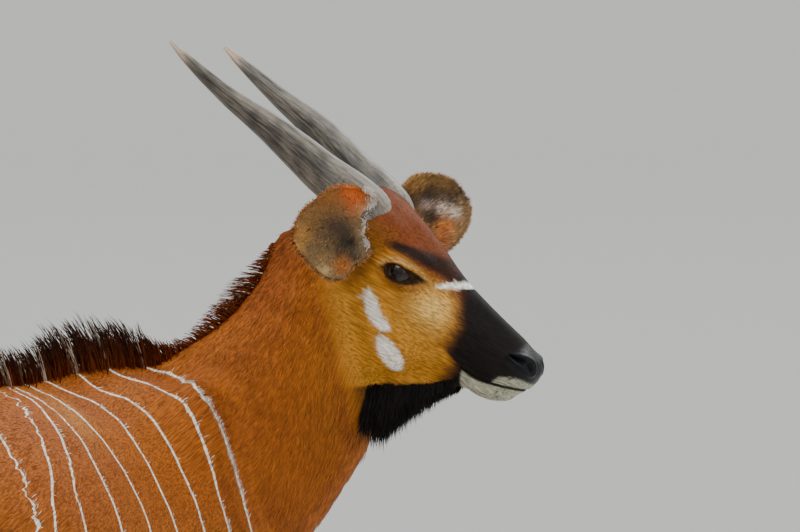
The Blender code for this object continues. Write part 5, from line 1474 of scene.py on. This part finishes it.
for name, way, share_long, bow in (("horn_right", -1, 1.0, 0.0), ("horn_left", 1, 0.965, 0.0055)):
    rows = np.array(HORN_STATIONS)
    part = (rows[:, 0] - rows[0, 0]) / (rows[-1, 0] - rows[0, 0])
    line = np.stack([
        rows[0, 0] + (rows[:, 0] - rows[0, 0]) * share_long,
        way * rows[:, 2],
        rows[:, 1] + bow * np.sin(math.pi * part),
    ], axis=1)
    # the line and the radius are eased between the stations, so that none shows as a corner
    fine = np.linspace(0.0, 1.0, HORN_STEPS + 1)
    smooth = np.stack([np.interp(fine, part, column) for column in (*line.T, rows[:, 3])], axis=1)
    kernel = np.hanning(2 * HORN_EASE + 1)
    kernel /= kernel.sum()
    before_base = 2 * smooth[:1] - smooth[HORN_EASE:0:-1]
    past_tip = 2 * smooth[-1:] - smooth[-2:-HORN_EASE - 2:-1]
    ends = np.concatenate([before_base, smooth, past_tip])
    smooth = np.stack([np.convolve(column, kernel, "valid") for column in ends.T], axis=1)
    station = np.interp(fine, part, np.linspace(0.0, 1.0, len(rows)))
    # the rings stand closer together at the wrinkled base
    picks = np.concatenate([np.linspace(12, 150, 60), np.linspace(150, 594, 90), (597, 600)])
    picks = np.unique(np.round(picks).astype(int))
    bm = bmesh.new()
    bmesh.ops.create_circle(bm, cap_ends=False, segments=HORN_SIDES, radius=1.0)
    turn_layer = bm.verts.layers.float.new("turn")
    along_layer = bm.verts.layers.float.new("along")
    for vert in bm.verts:
        vert[turn_layer] = math.atan2(vert.co.y, vert.co.x)
    edges = bm.edges[:]
    fresh = bm.verts[:]
    for count, pick in enumerate(picks):
        if count:
            made = bmesh.ops.extrude_edge_only(bm, edges=edges)["geom"]
            fresh = [element for element in made if isinstance(element, bmesh.types.BMVert)]
            edges = [element for element in made if isinstance(element, bmesh.types.BMEdge)]
            edges = [edge for edge in edges if edge.verts[0] in fresh and edge.verts[1] in fresh]
        before, after = smooth[max(pick - 2, 0)], smooth[min(pick + 2, HORN_STEPS)]
        forward = unit(after[:3] - before[:3])
        left = unit(np.cross((0.0, 0.0, 1.0), forward))
        up = np.cross(forward, left)
        keel = way * HORN_TURN * station[pick]
        sunk = -FOOT_DEPTH * max(1 - pick / FOOT_STEPS, 0.0)
        centre = smooth[pick, :3] + forward * sunk
        radius = max(smooth[pick, 3], TIP_RADIUS)
        wrinkle = math.sin(fine[pick] * 330 + 2 * math.sin(fine[pick] * 60)) * math.exp(-fine[pick] * 6)
        for vert in fresh:
            angle = vert[turn_layer]
            vert[along_layer] = fine[pick]
            size = radius * (1 + KEEL_SHARE * math.cos(2 * (angle - keel)))
            size += WRINKLE_HEIGHT * wrinkle * (1 + 0.5 * math.sin(3 * angle))
            place = centre + left * math.cos(angle) * size + up * math.sin(angle) * size
            vert.co = from_head(place[None])[0]
    bmesh.ops.contextual_create(bm, geom=fresh)
    bmesh.ops.recalc_face_normals(bm, faces=bm.faces)
    mesh = mesh_of(bm, name + "_sheath")
    many = len(mesh.vertices)
    angle = np.empty(many)
    along = np.empty(many)
    mesh.attributes["turn"].data.foreach_get("value", angle)
    mesh.attributes["along"].data.foreach_get("value", along)
    tone = np.tile(tint_of("625c52"), (many, 1))
    wave = ripple(points_of(mesh), 0.06, 31)
    for amount, text in (
        (0.60 * smoothstep(-0.2, 0.8, wave), "2b2625"),
        (smoothstep(0.20, 0.05, along + 0.02 * wave) * 0.5, "7d756b"),
        (smoothstep(0.07, 0.02, along + 0.01 * wave) * 0.35, "857a71"),
        (smoothstep(0.88, 0.95, along + 0.01 * wave) * 0.9, "b9a08c"),
    ):
        tone += (tint_of(text) - tone) * amount[:, None]
    paint(mesh, "growth", tone)
    paint(mesh, "fibre", np.stack([
        np.cos(angle) * FIBRE_ROUND,
        np.sin(angle) * FIBRE_ROUND,
        along * np.where(along > 0.25, FIBRE_ALONG, FIBRE_ALONG + (0.25 - along) * 0.5),
    ], axis=1))
    shown(name + "_sheath", mesh, horn_look, (name,))

# Hooves: cloven, each half a box of dark horn that grows down from the coronet over the toe bone, with
# fine growth rings and an edge rounded by wear.
HOOF_EDGE = 0.0016
SHARP_ANGLE = 0.7
FLAT_ANGLE = 0.03
RING_TURNS = 1500.0
# hoof horn: near black with brown patches, a dull shine and fine rings from coronet to ground
hoof_look, tree, shader = look("hoof horn", 0.5, Specular_IOR_Level=0.4)
coords = node(tree, "TexCoord")
split = node(tree, "SeparateXYZ", links={"Vector": coords.outputs["Object"]})
grain = node(tree, "TexNoise", links={"Vector": coords.outputs["Object"]}, Scale=60.0, Detail=5.0)
lift = node(
    tree, "Math", {"operation": "MULTIPLY_ADD"}, {0: grain.outputs["Fac"], 2: split.outputs["Z"]}, i1=0.010,
)
rings = node(tree, "Math", {"operation": "MULTIPLY"}, {0: lift.outputs["Value"]}, i1=RING_TURNS)
wave = node(tree, "Math", {"operation": "SINE"}, {0: rings.outputs["Value"]})
ramp = node(tree, "ValToRGB", links={"Fac": grain.outputs["Fac"]})
ramp.color_ramp.elements[0].position = 0.35
ramp.color_ramp.elements[0].color = colour("1d1917")
ramp.color_ramp.elements[1].position = 0.70
ramp.color_ramp.elements[1].color = colour("3b332d")
tree.links.new(ramp.outputs["Color"], shader.inputs["Base Color"])
relief = node(tree, "Bump", links={"Height": wave.outputs["Value"]}, Strength=0.35, Distance=0.0006)
tree.links.new(relief.outputs["Normal"], shader.inputs["Normal"])
for leg in ("front_right", "front_left", "hind_right", "hind_left"):
    for half in ("inner", "outer"):
        name = "hoof_" + leg + "_" + half
        bm = bmesh.new()
        bm.from_mesh(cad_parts[name].data)
        bmesh.ops.remove_doubles(bm, verts=bm.verts, dist=JOIN_GAP)
        bmesh.ops.dissolve_limit(bm, angle_limit=FLAT_ANGLE, verts=bm.verts, edges=bm.edges)
        folded = [edge for edge in bm.edges if len(edge.link_faces) == 2]
        sharp = [edge for edge in folded if edge.calc_face_angle() > SHARP_ANGLE]
        bmesh.ops.bevel(
            bm, geom=sharp, offset=HOOF_EDGE, segments=3, affect="EDGES", profile=0.5, material=-1,
            clamp_overlap=True,
        )
        bmesh.ops.triangulate(bm, faces=[face for face in bm.faces if len(face.verts) > 4])
        mesh = mesh_of(bm, name + "_horn")
        shown(name + "_horn", mesh, hoof_look, (name,))

# Studio: a pale painted floor that runs up into a round backdrop, and soft lights from above, from the
# viewer's side and from behind.
CAMERA_AWAY = 12.0
VIEW_WIDTH = 1.159
FILM_WIDTH = 36.0
ACROSS_FROM_WITHERS, OVER_WITHERS = 0.3768, 0.1536
FLOOR_LEVEL, FLOOR_REACH = -0.001, 60.0
COVE_RADIUS, COVE_STEPS = 14.0, 12
BACKDROP_TOP = 44.0
AZIMUTH, ELEVATION = math.radians(-55.0), math.radians(2.0)
back = Vector((
    math.sin(AZIMUTH) * math.cos(ELEVATION), -math.cos(AZIMUTH) * math.cos(ELEVATION), math.sin(ELEVATION),
))
right = Vector((math.cos(AZIMUTH), math.sin(AZIMUTH), 0.0))
above = back.cross(right)
middle = Vector(WITHERS) + Vector((0.0, 0.0, WITHERS_HEIGHT))
middle = middle + right * ACROSS_FROM_WITHERS + above * OVER_WITHERS
bm = bmesh.new()
profile = [bm.verts.new((0.0, 0.0, FLOOR_LEVEL))]
for index in range(COVE_STEPS + 1):
    turn = math.pi / 2 * index / COVE_STEPS
    out, high = COVE_RADIUS * math.sin(turn), COVE_RADIUS * (1 - math.cos(turn))
    profile.append(bm.verts.new((FLOOR_REACH + out, 0.0, FLOOR_LEVEL + high)))
profile.append(bm.verts.new((FLOOR_REACH + COVE_RADIUS, 0.0, BACKDROP_TOP)))
edges = [bm.edges.new(pair) for pair in zip(profile, profile[1:])]
bmesh.ops.spin(
    bm, geom=profile + edges, cent=(0, 0, 0), axis=(0, 0, 1), angle=2 * math.pi, steps=96, use_merge=True,
)
bmesh.ops.remove_doubles(bm, verts=bm.verts, dist=0.0001)
bmesh.ops.recalc_face_normals(bm, faces=bm.faces)
floor_mesh = mesh_of(bm, "floor")
floor_mesh.shade_smooth()
floor = placed("floor", floor_mesh)
# matt paint: even and without a shine, so that it shows only soft shadows
floor_look, tree, shader = look("matt paint", 0.9)
shader.inputs["Base Color"].default_value = colour("ebe9e4")
floor_mesh.materials.append(floor_look)
world = bpy.data.worlds.new("studio")
bpy.context.scene.world = world
world.use_nodes = True
world.node_tree.nodes["Background"].inputs["Color"].default_value = colour("dfe3e6")
world.node_tree.nodes["Background"].inputs["Strength"].default_value = 1.25
# name, place, size in metres, power in watts
for name, place, size, power in (
    ("key", middle + back * 1.6 + above * 3.2 - right * 1.0, 2.2, 105.0),
    ("rim", middle - back * 2.4 + above * 2.2 + right * 1.4, 1.8, 70.0),
    ("side", middle + back * 2.5 + right * 2.4 + above * 1.2, 2.0, 22.0),
):
    lamp = bpy.data.lights.new(name, "AREA")
    lamp.energy = power
    lamp.size = size
    lamp_item = placed(name, lamp)
    lamp_item.location = place
    lamp_item.rotation_mode = "QUATERNION"
    lamp_item.rotation_quaternion = (place - middle).to_track_quat("Z", "Y")
camera_data = bpy.data.cameras.new("camera")
camera = placed("camera", camera_data)
camera_data.sensor_width = FILM_WIDTH
camera_data.lens = FILM_WIDTH * CAMERA_AWAY / VIEW_WIDTH
camera_data.clip_end = 300.0
camera.location = middle + back * CAMERA_AWAY
camera.rotation_mode = "QUATERNION"
camera.rotation_quaternion = back.to_track_quat("Z", "Y")
bpy.context.scene.camera = camera
